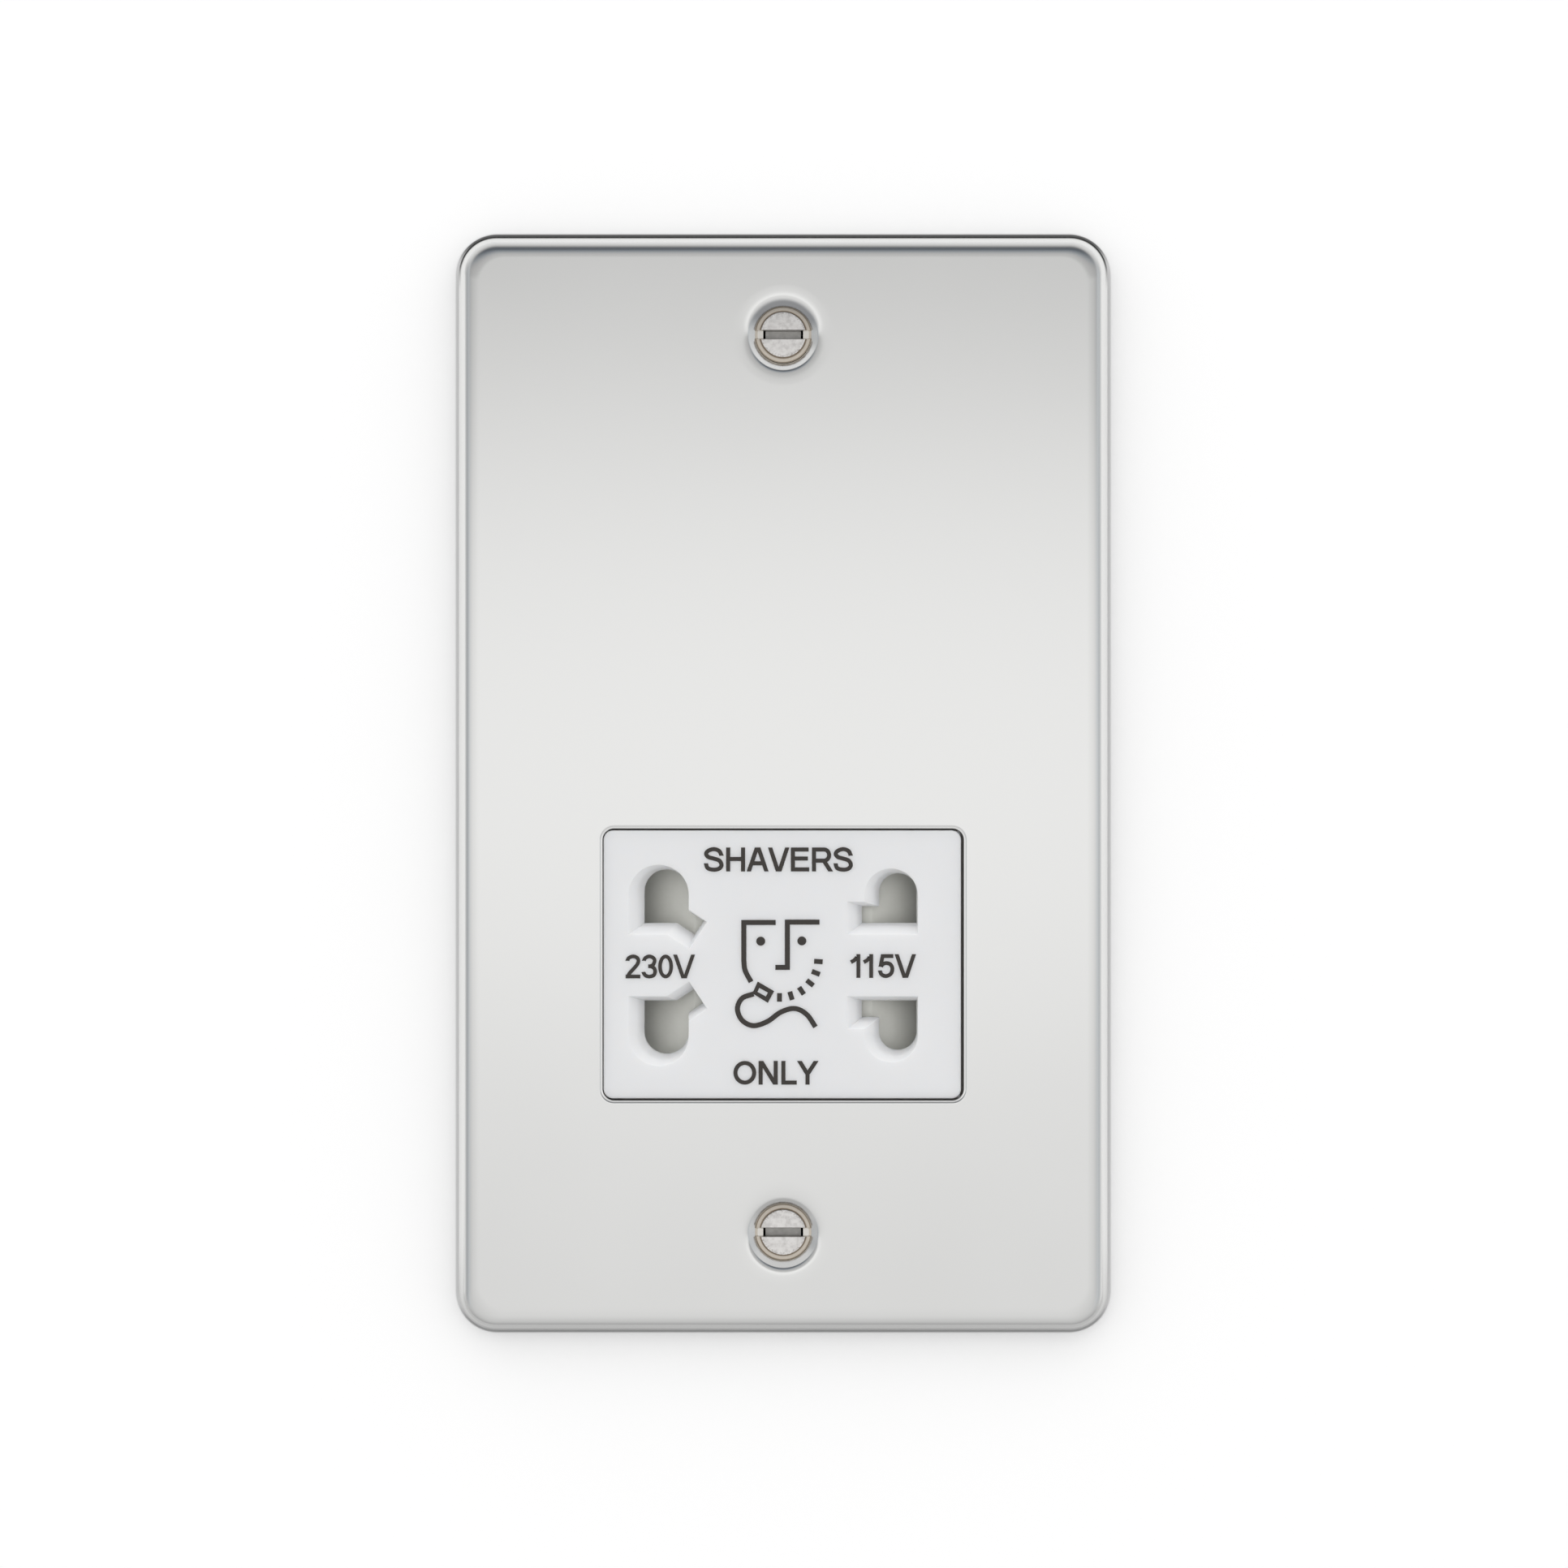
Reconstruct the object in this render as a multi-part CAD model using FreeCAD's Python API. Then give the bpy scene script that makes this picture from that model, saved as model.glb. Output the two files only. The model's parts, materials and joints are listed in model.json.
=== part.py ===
"""Dual-voltage shaver supply unit, in millimetres.

X runs to the right, Z up, and the front faces -Y. The origin is on the wall plane, midway between
the two fixing screws. The faceplate stands in front of the wall, and the housing lies behind it.
"""

import FreeCAD
import Part
import math
import os

from FreeCAD import Vector

# Faceplate: pressed metal sheet over a twin wall box
plate_width = 87.5
plate_height = 147.4
plate_depth = 4.5
plate_corner = 5.1
edge_round = 2.9
sheet = 1.2
fixing_pitch = 120.6
dimple_radius = 4.75
dimple_depth = 3.9
dimple_lip = 0.8
dimple_hole = 2.1

# White insert in the window of the faceplate
insert_width = 48.0
insert_height = 36.0
insert_corner = 1.3
insert_thickness = 4.5
insert_edge = 0.25
insert_x = -0.13
insert_z = -24.3
insert_flange = 2.6
insert_flange_thickness = 2.0
window_gap = 0.25
window_edge = 0.3

# Pin holes: each has a D and a blade slot, mirrored about the pin line
pin_line_rise = 0.25
pin_offset = 15.6
flat_offset = 5.2
slot_width = 2.3
radius_230v = 3.0
height_230v = 7.25
slot_angle_230v = 33.5
slot_root_230v = 7.5
slot_reach_230v = 5.3
radius_115v = 2.55
height_115v = 6.75
slot_reach_115v = 4.87
lip_grow = 1.05
lip_shift_x = -1.0
lip_shift_z = -0.38
lip_step = 0.45
bevel_depth = 0.8
lip_depth = 2.4

# Shutter: a roof-shaped slider behind the pin holes
running_gap = 0.3
shutter_travel = 6.5
shutter_half_length = 19.5
shutter_half_height = 13.5
shutter_thickness = 6.0
shutter_edge = 1.3
plateau_half = 12.0
rail_height = 1.6
rail_inset = 3.5
spring_pocket_half = 12.5
spring_pocket_wall = 1.6
spring_radius = 1.7
spring_wire = 0.45
spring_turns = 6
spring_steps = 8
spring_sides = 6
spring_post_half = 1.5

# Switch worked by a notch in the lower edge of the shutter
notch_depth = 2.2
notch_half = 3.2
leaf_thickness = 0.3
leaf_width = 4.0
leaf_reach = 9.0
leaf_bump = 1.5
leaf_bump_half = 2.0
leaf_anchor = 12.0
contact_drop = 1.8
contact_rise = 0.4
contact_overlap = 3.0
switch_post_width = 3.0
switch_post_drop = 3.5

# Socket body and its four sprung contacts
body_flange = 2.0
body_corner = 2.0
body_half_width = 24.0
body_half_height = 15.5
body_depth = 11.5
pocket_depth = 10.0
pocket_half_width = 4.2
pocket_clearance = 0.3
clip_thickness = 0.5
clip_height = 5.5
clip_half_width = 2.9
clip_throat = 1.7
clip_flare = 2.7
clip_throat_share = 0.22
clip_swell_share = 0.62
clip_tail = 2.6
clip_tail_width = 3.0
base_screw_x = 20.0
base_post_radius = 2.2
base_screw_radius = 0.9
base_screw_slot = 0.6
base_screw_head_radius = 1.8
base_screw_head = 1.2
base_screw_length = 5.5

# Carrier and rear cover: the housing behind the plate
carrier_flange = 3.0
fit_gap = 0.2
wall = 2.0
side_wall = 1.9
housing_corner = 4.0
split_y = 14.0
front_wall = 1.5
lower_depth = 28.0
step_below_core = 5.5
step_rise = 6.0
step_round = 4.0
cover_edge = 2.0
ear_offset = 2.5
ear_inset = 12.0
ear_radius = 3.2
ear_height = 6.0
housing_screw_radius = 1.1
housing_screw_head_radius = 2.3
housing_screw_head = 1.6
housing_screw_length = 14.0
cross_arm = 1.4
cross_half = 0.35
cross_depth = 1.0

# Transformer, standing across the upper part of the housing
core_width = 54.0
core_height = 45.0
core_stack = 19.0
core_bottom = 1.9
core_side_gap = 0.3
core_top_gap = 1.1
leg_width = 18.0
window_height = 27.0
bobbin_wall = 1.0
bobbin_gap = 0.2
winding_build = 7.1
flange_lip = 0.5
winding_corner = 3.0
core_post = 6.0
core_post_inset = 1.0
cutout_width = 20.0
cutout_depth = 8.0
cutout_height = 3.4
cutout_edge = 0.8

# Terminals, behind the lower part of the housing
block_width = 41.0
block_height = 16.0
block_depth = 11.5
block_lift = 4.0
block_edge = 1.0
terminal_pitch = 13.0
terminal_width = 7.0
terminal_height = 9.0
terminal_depth = 8.0
terminal_gap = 0.2
terminal_bore = 1.9
wire_entry = 5.0
screw_well = 3.1
terminal_screw_radius = 1.5
terminal_screw_head_radius = 2.7
terminal_screw_head = 1.8
terminal_screw_lift = 0.8
terminal_slot = 0.8
terminal_tail = 4.0
tail_thickness = 0.8
tail_width = 4.0
strap_width = 6.0
strap_thickness = 0.6
strap_foot = 7.0
strap_bend = 1.2

# Fixing screws
fixing_disc = 3.05
fixing_ring = 3.8
fixing_step = 0.15
fixing_bevel = 0.3
fixing_neck = 1.5
fixing_shank = 1.75
fixing_length = 28.0
seat_gap = 0.05
slot_cut = 1.2
slot_depth = 1.1

# How far a fused piece runs into its carrier, and a cutter past a surface
bite = 0.5
past = 1.0

# Places that follow from the sizes above
front = -plate_depth
sheet_back = front + sheet
flange_back = sheet_back + carrier_flange
wall_inside = flange_back + front_wall
pin_line_z = insert_z + pin_line_rise
insert_back = front + insert_thickness
shutter_front = insert_back + running_gap
shutter_back = shutter_front + shutter_thickness
body_front = shutter_back + running_gap
body_back = body_front + body_depth
arm_y = body_front + body_flange
base_screw_z = insert_height / 2 + pin_line_rise + 3 * fit_gap + base_post_radius
body_flange_half_width = base_screw_x + 2 * base_post_radius
body_flange_half_height = base_screw_z + base_post_radius
inner_half_width = max(core_width / 2 + core_side_gap, shutter_half_length + shutter_travel + running_gap)
inner_half_height = max(core_bottom + core_height + core_top_gap,
                        body_flange_half_height - pin_line_z + running_gap)
housing_half_width = inner_half_width + side_wall
housing_half_height = inner_half_height + wall
winding_reach = core_stack / 2 + bobbin_gap + bobbin_wall + winding_build + flange_lip
core_y = wall_inside + running_gap + winding_reach
core_z = core_bottom + core_height / 2
upper_inside = core_y + winding_reach + running_gap
upper_depth = upper_inside + side_wall
lower_inside = lower_depth - wall
step_z = core_bottom - step_below_core
ear_x = housing_half_width + ear_offset
ear_z = housing_half_height - ear_inset
shutter_low_z = pin_line_z - shutter_half_height
fixing_z = fixing_pitch / 2
block_z = -housing_half_height + block_lift + block_height / 2
block_front = lower_depth + fit_gap / 2
block_back = block_front + block_depth
terminal_front = block_front + strap_thickness + terminal_gap / 2
terminal_back = terminal_front + terminal_depth
terminal_y = terminal_front + terminal_depth / 2
terminal_xs = [-terminal_pitch, 0.0, terminal_pitch]
strap_x = terminal_pitch


def save(shape, name):
    """Write one piece to its own file."""
    shape.exportStep("parts/" + name + ".step")
    print(name, len(shape.Solids), "solid(s)", round(shape.Volume, 1), "mm3")


def box(x0, x1, y0, y1, z0, z1):
    """Box between two corners."""
    return Part.makeBox(x1 - x0, y1 - y0, z1 - z0, Vector(x0, y0, z0))


def rod(radius, x, z, y0, y1):
    """Round bar along Y."""
    return Part.makeCylinder(radius, y1 - y0, Vector(x, y0, z), Vector(0, 1, 0))


def rounded_slab(half_width, half_height, corner, y0, y1, x=0.0, z=0.0):
    """Slab seen as a rounded rectangle from the front, between depths y0 and y1."""
    slab = box(x - half_width, x + half_width, y0, y1, z - half_height, z + half_height)
    uprights = [edge for edge in slab.Edges if abs(edge.tangentAt(edge.FirstParameter).y) > 0.9]
    return slab.makeFillet(corner, uprights)


def edges_at(shape, y):
    """Edges that lie wholly in the plane of depth y."""
    return [edge for edge in shape.Edges
            if all(abs(vertex.Point.y - y) < 1e-4 for vertex in edge.Vertexes)
            and abs(edge.BoundBox.YMax - edge.BoundBox.YMin) < 1e-3]


def turned(profile, x, z):
    """Turn a closed outline of (radius, depth) points about the axis along Y through (x, z)."""
    points = [Vector(x + radius, y, z) for radius, y in profile]
    outline = Part.makePolygon(points + [points[0]])
    return Part.Face(outline).revolve(Vector(x, 0, z), Vector(0, 1, 0), 360)


def prism(points, along):
    """Straight prism over a closed outline of 3-D points."""
    return Part.Face(Part.makePolygon(points + [points[0]])).extrude(along)


def softened_outline(points, radii):
    """Closed wire through the points, with a tangent arc of the given radius at each one."""
    count = len(points)
    edges = []
    entries = []
    exits = []
    arcs = []
    for i in range(count):
        here = points[i]
        back = (points[i - 1] - here).normalize()
        ahead = (points[(i + 1) % count] - here).normalize()
        turn = math.pi - back.getAngle(ahead)
        if radii[i] <= 0 or turn < 1e-3:
            entries.append(here)
            exits.append(here)
            arcs.append(None)
            continue
        reach = radii[i] * math.tan(turn / 2)
        bisector = (back + ahead).normalize()
        middle = here + bisector * (radii[i] / math.cos(turn / 2) - radii[i])
        entries.append(here + back * reach)
        exits.append(here + ahead * reach)
        arcs.append(Part.Arc(entries[i], middle, exits[i]).toShape())
    for i in range(count):
        if arcs[i]:
            edges.append(arcs[i])
        start = exits[i]
        end = entries[(i + 1) % count]
        if (end - start).Length > 1e-6:
            edges.append(Part.LineSegment(start, end).toShape())
    return Part.Wire(Part.__sortEdges__(edges))


def folded_strip(path, normal, thickness, width, bend):
    """Metal strip folded along a path of points in a plane, and as wide as given across it."""
    half = thickness / 2
    left = []
    right = []
    left_radii = []
    right_radii = []
    last = len(path) - 1
    for i, here in enumerate(path):
        coming = (here - path[i - 1]).normalize() if i > 0 else (path[1] - here).normalize()
        going = (path[i + 1] - here).normalize() if i < last else coming
        side_a = normal.cross(coming)
        side_b = normal.cross(going)
        mitre = (side_a + side_b) * (1.0 / (1.0 + side_a.dot(side_b)))
        left.append(here + mitre * half)
        right.append(here - mitre * half)
        turn = normal.dot(coming.cross(going))
        inner = 0.0 if i in (0, last) else bend - half
        outer = 0.0 if i in (0, last) else bend + half
        left_radii.append(inner if turn > 0 else outer)
        right_radii.append(outer if turn > 0 else inner)
    outline = softened_outline(left + right[::-1], left_radii + right_radii[::-1])
    blank = Part.Face(outline).extrude(normal * width)
    blank.translate(normal * (-width / 2))
    return blank


class PinHole:
    """A D-shaped hole with a blade slot that runs off the foot of the D."""

    def __init__(self, side, radius, height, slot_angle, slot_root, slot_reach):
        self.centre_x = insert_x + side * pin_offset
        self.slot_side = -side
        self.radius = radius
        self.height = height
        self.angle = math.radians(slot_angle)
        self.root = slot_root
        self.reach = slot_reach

    def outline(self, up, y, grow=0.0, share=0.0):
        """Outline at depth y, grown by an offset and moved by a share of the lip's shift.

        It is drawn with u towards the slot and v away from the pin line.
        """
        sine = math.sin(self.angle)
        cosine = math.cos(self.angle)
        half = slot_width / 2 + grow
        side = self.radius + grow
        flat = flat_offset - grow
        arc_v = flat_offset + self.height - self.radius
        end_u = (self.reach + grow) * cosine
        end_v = self.root - (self.reach + grow) * sine
        corners = [(-side, flat)]
        if sine > 1e-6:
            run = (self.root - half * cosine - flat) / sine
            corners.append((run * cosine - half * sine, flat))
        corners.append((end_u - half * sine, end_v - half * cosine))
        corners.append((end_u + half * sine, end_v + half * cosine))
        run = (side - half * sine) / cosine
        corners.append((side, self.root + half * cosine - run * sine))
        corners.append((side, arc_v))
        corners.append((-side, arc_v))

        def place(u, v):
            return Vector(self.centre_x + self.slot_side * u + share * lip_shift_x, y,
                          pin_line_z + up * v + share * lip_shift_z)

        points = [place(u, v) for u, v in corners]
        sides = [Part.LineSegment(a, b).toShape() for a, b in zip(points[:-2], points[1:-1])]
        dome = Part.Arc(points[-2], place(0.0, arc_v + side), points[-1]).toShape()
        closing = Part.LineSegment(points[-1], points[0]).toShape()
        return Part.Wire(sides + [dome, closing])

    def cutter(self, up):
        """Everything that the hole takes out of the insert: bevel, steeper throat and bore."""
        mouth = self.outline(up, front, lip_grow, 1.0)
        middle = self.outline(up, front + bevel_depth, lip_grow * lip_step, lip_step)
        throat = self.outline(up, front + lip_depth)
        bevel = Part.makeLoft([mouth, middle], True, True)
        funnel = Part.makeLoft([middle, throat], True, True)
        bore = Part.Face(throat).extrude(Vector(0, insert_thickness - lip_depth + past, 0))
        return [bevel, funnel, bore]


def pin_holes():
    """The left pair of holes for 230 V and the right pair for 115 V."""
    left = PinHole(-1, radius_230v, height_230v, slot_angle_230v, slot_root_230v, slot_reach_230v)
    level_root = flat_offset + slot_width / 2
    right = PinHole(1, radius_115v, height_115v, 0.0, level_root, slot_reach_115v)
    return [left, right]


def fixing_heights():
    """Heights of the two fixing screws."""
    return [fixing_z, -fixing_z]


def make_faceplate():
    """Pressed sheet with a rounded edge, a window and two dimples for the screws."""
    half_width = plate_width / 2
    half_height = plate_height / 2
    outer = rounded_slab(half_width, half_height, plate_corner, front, 0.0)
    outer = outer.makeFillet(edge_round, edges_at(outer, front))
    cavity = rounded_slab(half_width - sheet, half_height - sheet, plate_corner - sheet, sheet_back, past)
    cavity = cavity.makeFillet(edge_round - sheet, edges_at(cavity, sheet_back))
    plate = outer.cut(cavity)
    rim = dimple_radius + sheet * math.sqrt(2.0)
    for z in fixing_heights():
        bulge = turned([(0, front + sheet / 2), (rim - sheet / 2, front + sheet / 2),
                        (rim - dimple_depth, front + dimple_depth), (0, front + dimple_depth)], 0.0, z)
        plate = plate.fuse(bulge)
    for z in fixing_heights():
        sink = turned([(0, front), (dimple_radius, front),
                       (dimple_hole, front + dimple_radius - dimple_hole),
                       (dimple_hole, front + dimple_depth), (0, front + dimple_depth)], 0.0, z)
        plate = plate.cut(sink)
    half_window_width = insert_width / 2 + window_gap
    half_window_height = insert_height / 2 + window_gap
    window = rounded_slab(half_window_width, half_window_height, insert_corner + window_gap,
                          front, sheet_back, 0.0, insert_z)
    plate = plate.cut(window).removeSplitter()
    lips = [edge for edge in edges_at(plate, front)
            if isinstance(edge.Curve, Part.Circle) and abs(edge.Curve.Radius - dimple_radius) < 1e-3]
    plate = plate.makeFillet(dimple_lip, lips)
    mouth = [edge for edge in edges_at(plate, front)
             if abs(edge.CenterOfMass.x) < half_window_width + fit_gap
             and abs(edge.CenterOfMass.z - insert_z) < half_window_height + fit_gap]
    return plate.makeFillet(min(window_edge, sheet / 2), mouth)


def make_insert():
    """White moulding: block in the window, flange behind the sheet, rails for the shutter."""
    half_width = insert_width / 2
    half_height = insert_height / 2
    block = rounded_slab(half_width, half_height, insert_corner, front, insert_back, insert_x, insert_z)
    block = block.makeFillet(insert_edge, edges_at(block, front))
    flange = rounded_slab(half_width + insert_flange, half_height + insert_flange,
                          insert_corner + insert_flange, sheet_back,
                          sheet_back + insert_flange_thickness, 0.0, insert_z)
    insert = block.fuse(flange)
    near = shutter_half_height + running_gap
    top = box(-half_width + rail_inset, half_width - rail_inset, insert_back, shutter_back,
              pin_line_z + near, pin_line_z + near + rail_height)
    insert = insert.fuse(top)
    gap = leaf_anchor + switch_post_width + running_gap
    for low, high in ((-half_width + rail_inset, -gap), (gap, half_width - rail_inset)):
        insert = insert.fuse(box(low, high, insert_back, shutter_back,
                                 pin_line_z - near - rail_height, pin_line_z - near))
    for hole in pin_holes():
        for up in (1, -1):
            for tool in hole.cutter(up):
                insert = insert.cut(tool)
    return insert.removeSplitter()


def make_shutter():
    """Slider with a level middle and two ramps, a spring pocket behind and a switch notch below."""
    low = shutter_low_z
    ramp_y = shutter_back - shutter_edge
    outline = [(-shutter_half_length, ramp_y), (-plateau_half, shutter_front),
               (plateau_half, shutter_front), (shutter_half_length, ramp_y),
               (shutter_half_length, shutter_back), (-shutter_half_length, shutter_back)]
    shutter = prism([Vector(x, y, low) for x, y in outline], Vector(0, 0, 2 * shutter_half_height))
    pocket_half = spring_radius + spring_wire / 2 + running_gap
    shutter = shutter.cut(box(-spring_pocket_half, spring_pocket_half,
                              shutter_front + spring_pocket_wall, shutter_back,
                              pin_line_z - pocket_half, pin_line_z + pocket_half))
    notch = prism([Vector(-notch_half, shutter_front, low), Vector(notch_half, shutter_front, low),
                   Vector(0, shutter_front, low + notch_depth)], Vector(0, shutter_thickness, 0))
    return shutter.cut(notch).removeSplitter()


def make_spring(side):
    """Coil spring between the fixed post and one end of the shutter's pocket.

    The helix is a chain of short straight runs with a six-sided section.
    """
    start = spring_post_half + spring_wire / 2 + fit_gap / 2
    length = spring_pocket_half - spring_wire / 2 - fit_gap / 2 - start
    depth = shutter_front + spring_pocket_wall + spring_radius + spring_wire / 2 + fit_gap
    steps = spring_turns * spring_steps
    path = []
    for i in range(steps + 1):
        angle = 2 * math.pi * i / spring_steps
        path.append(Vector(side * (start + length * i / steps), depth + spring_radius * math.cos(angle),
                           pin_line_z + spring_radius * math.sin(angle)))
    along = (path[1] - path[0]).normalize()
    out = Vector(0, 1, 0)
    across = along.cross(out).normalize()
    section = []
    for i in range(spring_sides + 1):
        angle = 2 * math.pi * i / spring_sides
        section.append(path[0] + (out * math.cos(angle) + across * math.sin(angle)) * (spring_wire / 2))
    mitred = 1
    return Part.Wire(Part.makePolygon(path)).makePipeShell([Part.makePolygon(section)], True, False, mitred)


def clip_depths():
    """Depths of a contact's mouth and of the plane where its base rests."""
    return arm_y + pocket_clearance, body_front + pocket_depth


def make_socket_body():
    """Moulding behind the shutter with a pocket for each contact and posts for the switch."""
    flange = rounded_slab(body_flange_half_width, body_flange_half_height, body_corner, body_front, arm_y,
                          0.0, pin_line_z)
    block = rounded_slab(body_half_width, body_half_height, body_corner, body_front, body_back,
                         0.0, pin_line_z)
    body = flange.fuse(block)
    post_half = spring_radius
    post_front = shutter_front + spring_pocket_wall + running_gap
    body = body.fuse(box(-spring_post_half, spring_post_half, post_front, body_front + bite,
                         pin_line_z - post_half, pin_line_z + post_half))
    for low, high, top in switch_posts():
        body = body.fuse(box(low, high, wall_inside + running_gap, body_front + bite,
                             leaf_level() - switch_post_drop, top))
    clip_z = clip_height / 2 + pocket_clearance
    for x, z in contact_places():
        body = body.cut(box(x - pocket_half_width, x + pocket_half_width, body_front - past,
                            body_front + pocket_depth, z - clip_z, z + clip_z))
        body = body.cut(box(x - clip_thickness / 2 - fit_gap, x + clip_thickness / 2 + fit_gap,
                            body_front, body_back + past,
                            z - clip_tail_width / 2 - fit_gap, z + clip_tail_width / 2 + fit_gap))
    for x, z in base_screw_places():
        body = body.cut(rod(base_screw_radius + fit_gap, x, z, body_front - past, arm_y + past))
    return body.removeSplitter()


def contact_places():
    """Centres of the four contacts, across and up: 230 V pair first, upper one first."""
    places = []
    for hole in pin_holes():
        middle = flat_offset + hole.height / 2
        for up in (1, -1):
            places.append((hole.centre_x, pin_line_z + up * middle))
    return places


def base_screw_places():
    """Corners where the socket body is screwed to the carrier."""
    return [(x, pin_line_z + z) for x in (-base_screw_x, base_screw_x)
            for z in (-base_screw_z, base_screw_z)]


def make_contact(x, z):
    """Sprung clip: two jaws that close towards the mouth and flare at it, with a tail behind."""
    mouth, floor = clip_depths()
    base = floor - clip_thickness / 2 - seat_gap
    reach = base - mouth
    jaw = [(clip_flare, mouth), (clip_throat, mouth + clip_throat_share * reach),
           (clip_half_width, mouth + clip_swell_share * reach), (clip_half_width, base)]
    outline = [(-u, y) for u, y in jaw] + [(u, y) for u, y in reversed(jaw)]
    path = [Vector(x + u, y, z) for u, y in outline]
    clip = folded_strip(path, Vector(0, 0, 1), clip_thickness, clip_height, 2 * clip_thickness)
    tail = box(x - clip_thickness / 2, x + clip_thickness / 2, base, body_back + clip_tail,
               z - clip_tail_width / 2, z + clip_tail_width / 2)
    return clip.fuse(tail).removeSplitter()


def leaf_level():
    """Height of the middle of the straight part of the switch leaf."""
    return shutter_low_z - running_gap - leaf_thickness


def switch_posts():
    """Posts of the socket body under the two switch strips: left edge, right edge and top."""
    leaf_top = leaf_level() - leaf_thickness / 2
    fixed_top = leaf_level() - contact_drop - leaf_thickness / 2
    return [(-leaf_anchor - switch_post_width, -leaf_anchor, leaf_top),
            (leaf_anchor, leaf_anchor + switch_post_width, fixed_top)]


def switch_depth():
    """Depth of the middle of the switch strips."""
    return (wall_inside + running_gap + body_front) / 2


def make_switch_leaf():
    """Springy strip with a bump that lies in the shutter's notch."""
    level = leaf_level()
    outline = [(-leaf_anchor - switch_post_width, 0.0), (-leaf_bump_half, 0.0), (0.0, leaf_bump),
               (leaf_bump_half, 0.0), (leaf_reach, 0.0)]
    path = [Vector(x, switch_depth(), level + rise) for x, rise in outline]
    return folded_strip(path, Vector(0, -1, 0), leaf_thickness, leaf_width, 2 * leaf_thickness)


def make_switch_contact():
    """Fixed strip that the leaf presses on when the shutter has moved."""
    level = leaf_level() - contact_drop
    outline = [(leaf_anchor + switch_post_width, 0.0), (leaf_anchor, 0.0),
               (leaf_reach - leaf_thickness, contact_rise), (leaf_reach - contact_overlap, contact_rise)]
    path = [Vector(x, switch_depth(), level + rise) for x, rise in outline]
    return folded_strip(path, Vector(0, -1, 0), leaf_thickness, leaf_width, 2 * leaf_thickness)


def ear_places():
    """Places of the four ears that join carrier and rear cover."""
    return [(x, z) for x in (-ear_x, ear_x) for z in (-ear_z, ear_z)]


def add_ears(shape, y0, y1):
    """Add the screw ears with their webs, between two depths."""
    for x, z in ear_places():
        shape = shape.fuse(rod(ear_radius, x, z, y0, y1))
        inner = math.copysign(housing_half_width - side_wall / 2, x)
        shape = shape.fuse(box(min(x, inner), max(x, inner), y0, y1, z - ear_radius, z + ear_radius))
    return shape


def core_post_places():
    """Corners where the core stands on posts."""
    x = core_width / 2 - core_post / 2 - core_post_inset
    z = core_height / 2 - core_post / 2 - core_post_inset
    return [(i * x, core_z + j * z) for i in (-1, 1) for j in (-1, 1)]


def add_core_posts(shape, y0, y1):
    """Add the posts that hold the core between two depths."""
    half = core_post / 2
    for x, z in core_post_places():
        shape = shape.fuse(box(x - half, x + half, y0, y1, z - half, z + half))
    return shape


def make_carrier():
    """Moulding behind the plate: flange in the plate's hollow, pocket for the insert, box wall."""
    inset = sheet + fit_gap
    flange = rounded_slab(plate_width / 2 - inset, plate_height / 2 - inset, plate_corner - inset,
                          sheet_back, flange_back)
    flange = flange.makeChamfer(edge_round - sheet + fit_gap, edges_at(flange, sheet_back))
    shell = rounded_slab(housing_half_width, housing_half_height, housing_corner, flange_back, split_y)
    carrier = add_ears(flange.fuse(shell), flange_back, split_y)
    carrier = carrier.cut(rounded_slab(inner_half_width, inner_half_height, housing_corner - wall,
                                       wall_inside, split_y + past))
    pocket_half_x = insert_width / 2 + insert_flange + fit_gap
    pocket_half_z = insert_height / 2 + insert_flange + fit_gap
    carrier = carrier.cut(rounded_slab(pocket_half_x, pocket_half_z, insert_corner + insert_flange,
                                       sheet_back - past, sheet_back + insert_flange_thickness,
                                       0.0, insert_z))
    carrier = carrier.cut(rounded_slab(insert_width / 2 + 2 * fit_gap, insert_height / 2 + 2 * fit_gap,
                                       insert_corner + fit_gap, sheet_back, wall_inside + past,
                                       0.0, insert_z))
    carrier = add_core_posts(carrier, wall_inside - bite, core_y - core_stack / 2)
    for x, z in base_screw_places():
        carrier = carrier.fuse(rod(base_post_radius, x, z, wall_inside - bite, body_front))
    for x, z in base_screw_places():
        carrier = carrier.cut(rod(base_screw_radius, x, z,
                                  arm_y - base_screw_length - fit_gap, body_front + past))
    for x, z in ear_places():
        carrier = carrier.cut(rod(housing_screw_radius, x, z,
                                  split_y + ear_height - housing_screw_length - fit_gap, split_y + past))
    bulge = dimple_radius + sheet * (math.sqrt(2.0) - 1.0) + 2 * fit_gap
    for z in fixing_heights():
        carrier = carrier.cut(rod(bulge, 0.0, z, sheet_back - past, flange_back + past))
    slot_half = strap_width / 2 + 2 * fit_gap
    foot = housing_half_height + strap_foot + 4 * fit_gap
    carrier = carrier.cut(box(strap_x - slot_half, strap_x + slot_half, sheet_back - past,
                              flange_back, -foot - strap_thickness, -housing_half_height))
    return carrier.removeSplitter()


def make_base_screws():
    """Four small screws through the socket body's flange into the carrier's posts."""
    screws = []
    for x, z in base_screw_places():
        head = rod(base_screw_head_radius, x, z, arm_y, arm_y + base_screw_head)
        shank = rod(base_screw_radius - fit_gap / 2, x, z, arm_y - base_screw_length, arm_y)
        cross = box(x - base_screw_head_radius, x + base_screw_head_radius,
                    arm_y + base_screw_head / 2, arm_y + base_screw_head + past,
                    z - base_screw_slot / 2, z + base_screw_slot / 2)
        screws.append(head.fuse(shank).cut(cross))
    return Part.Compound(screws)


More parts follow.
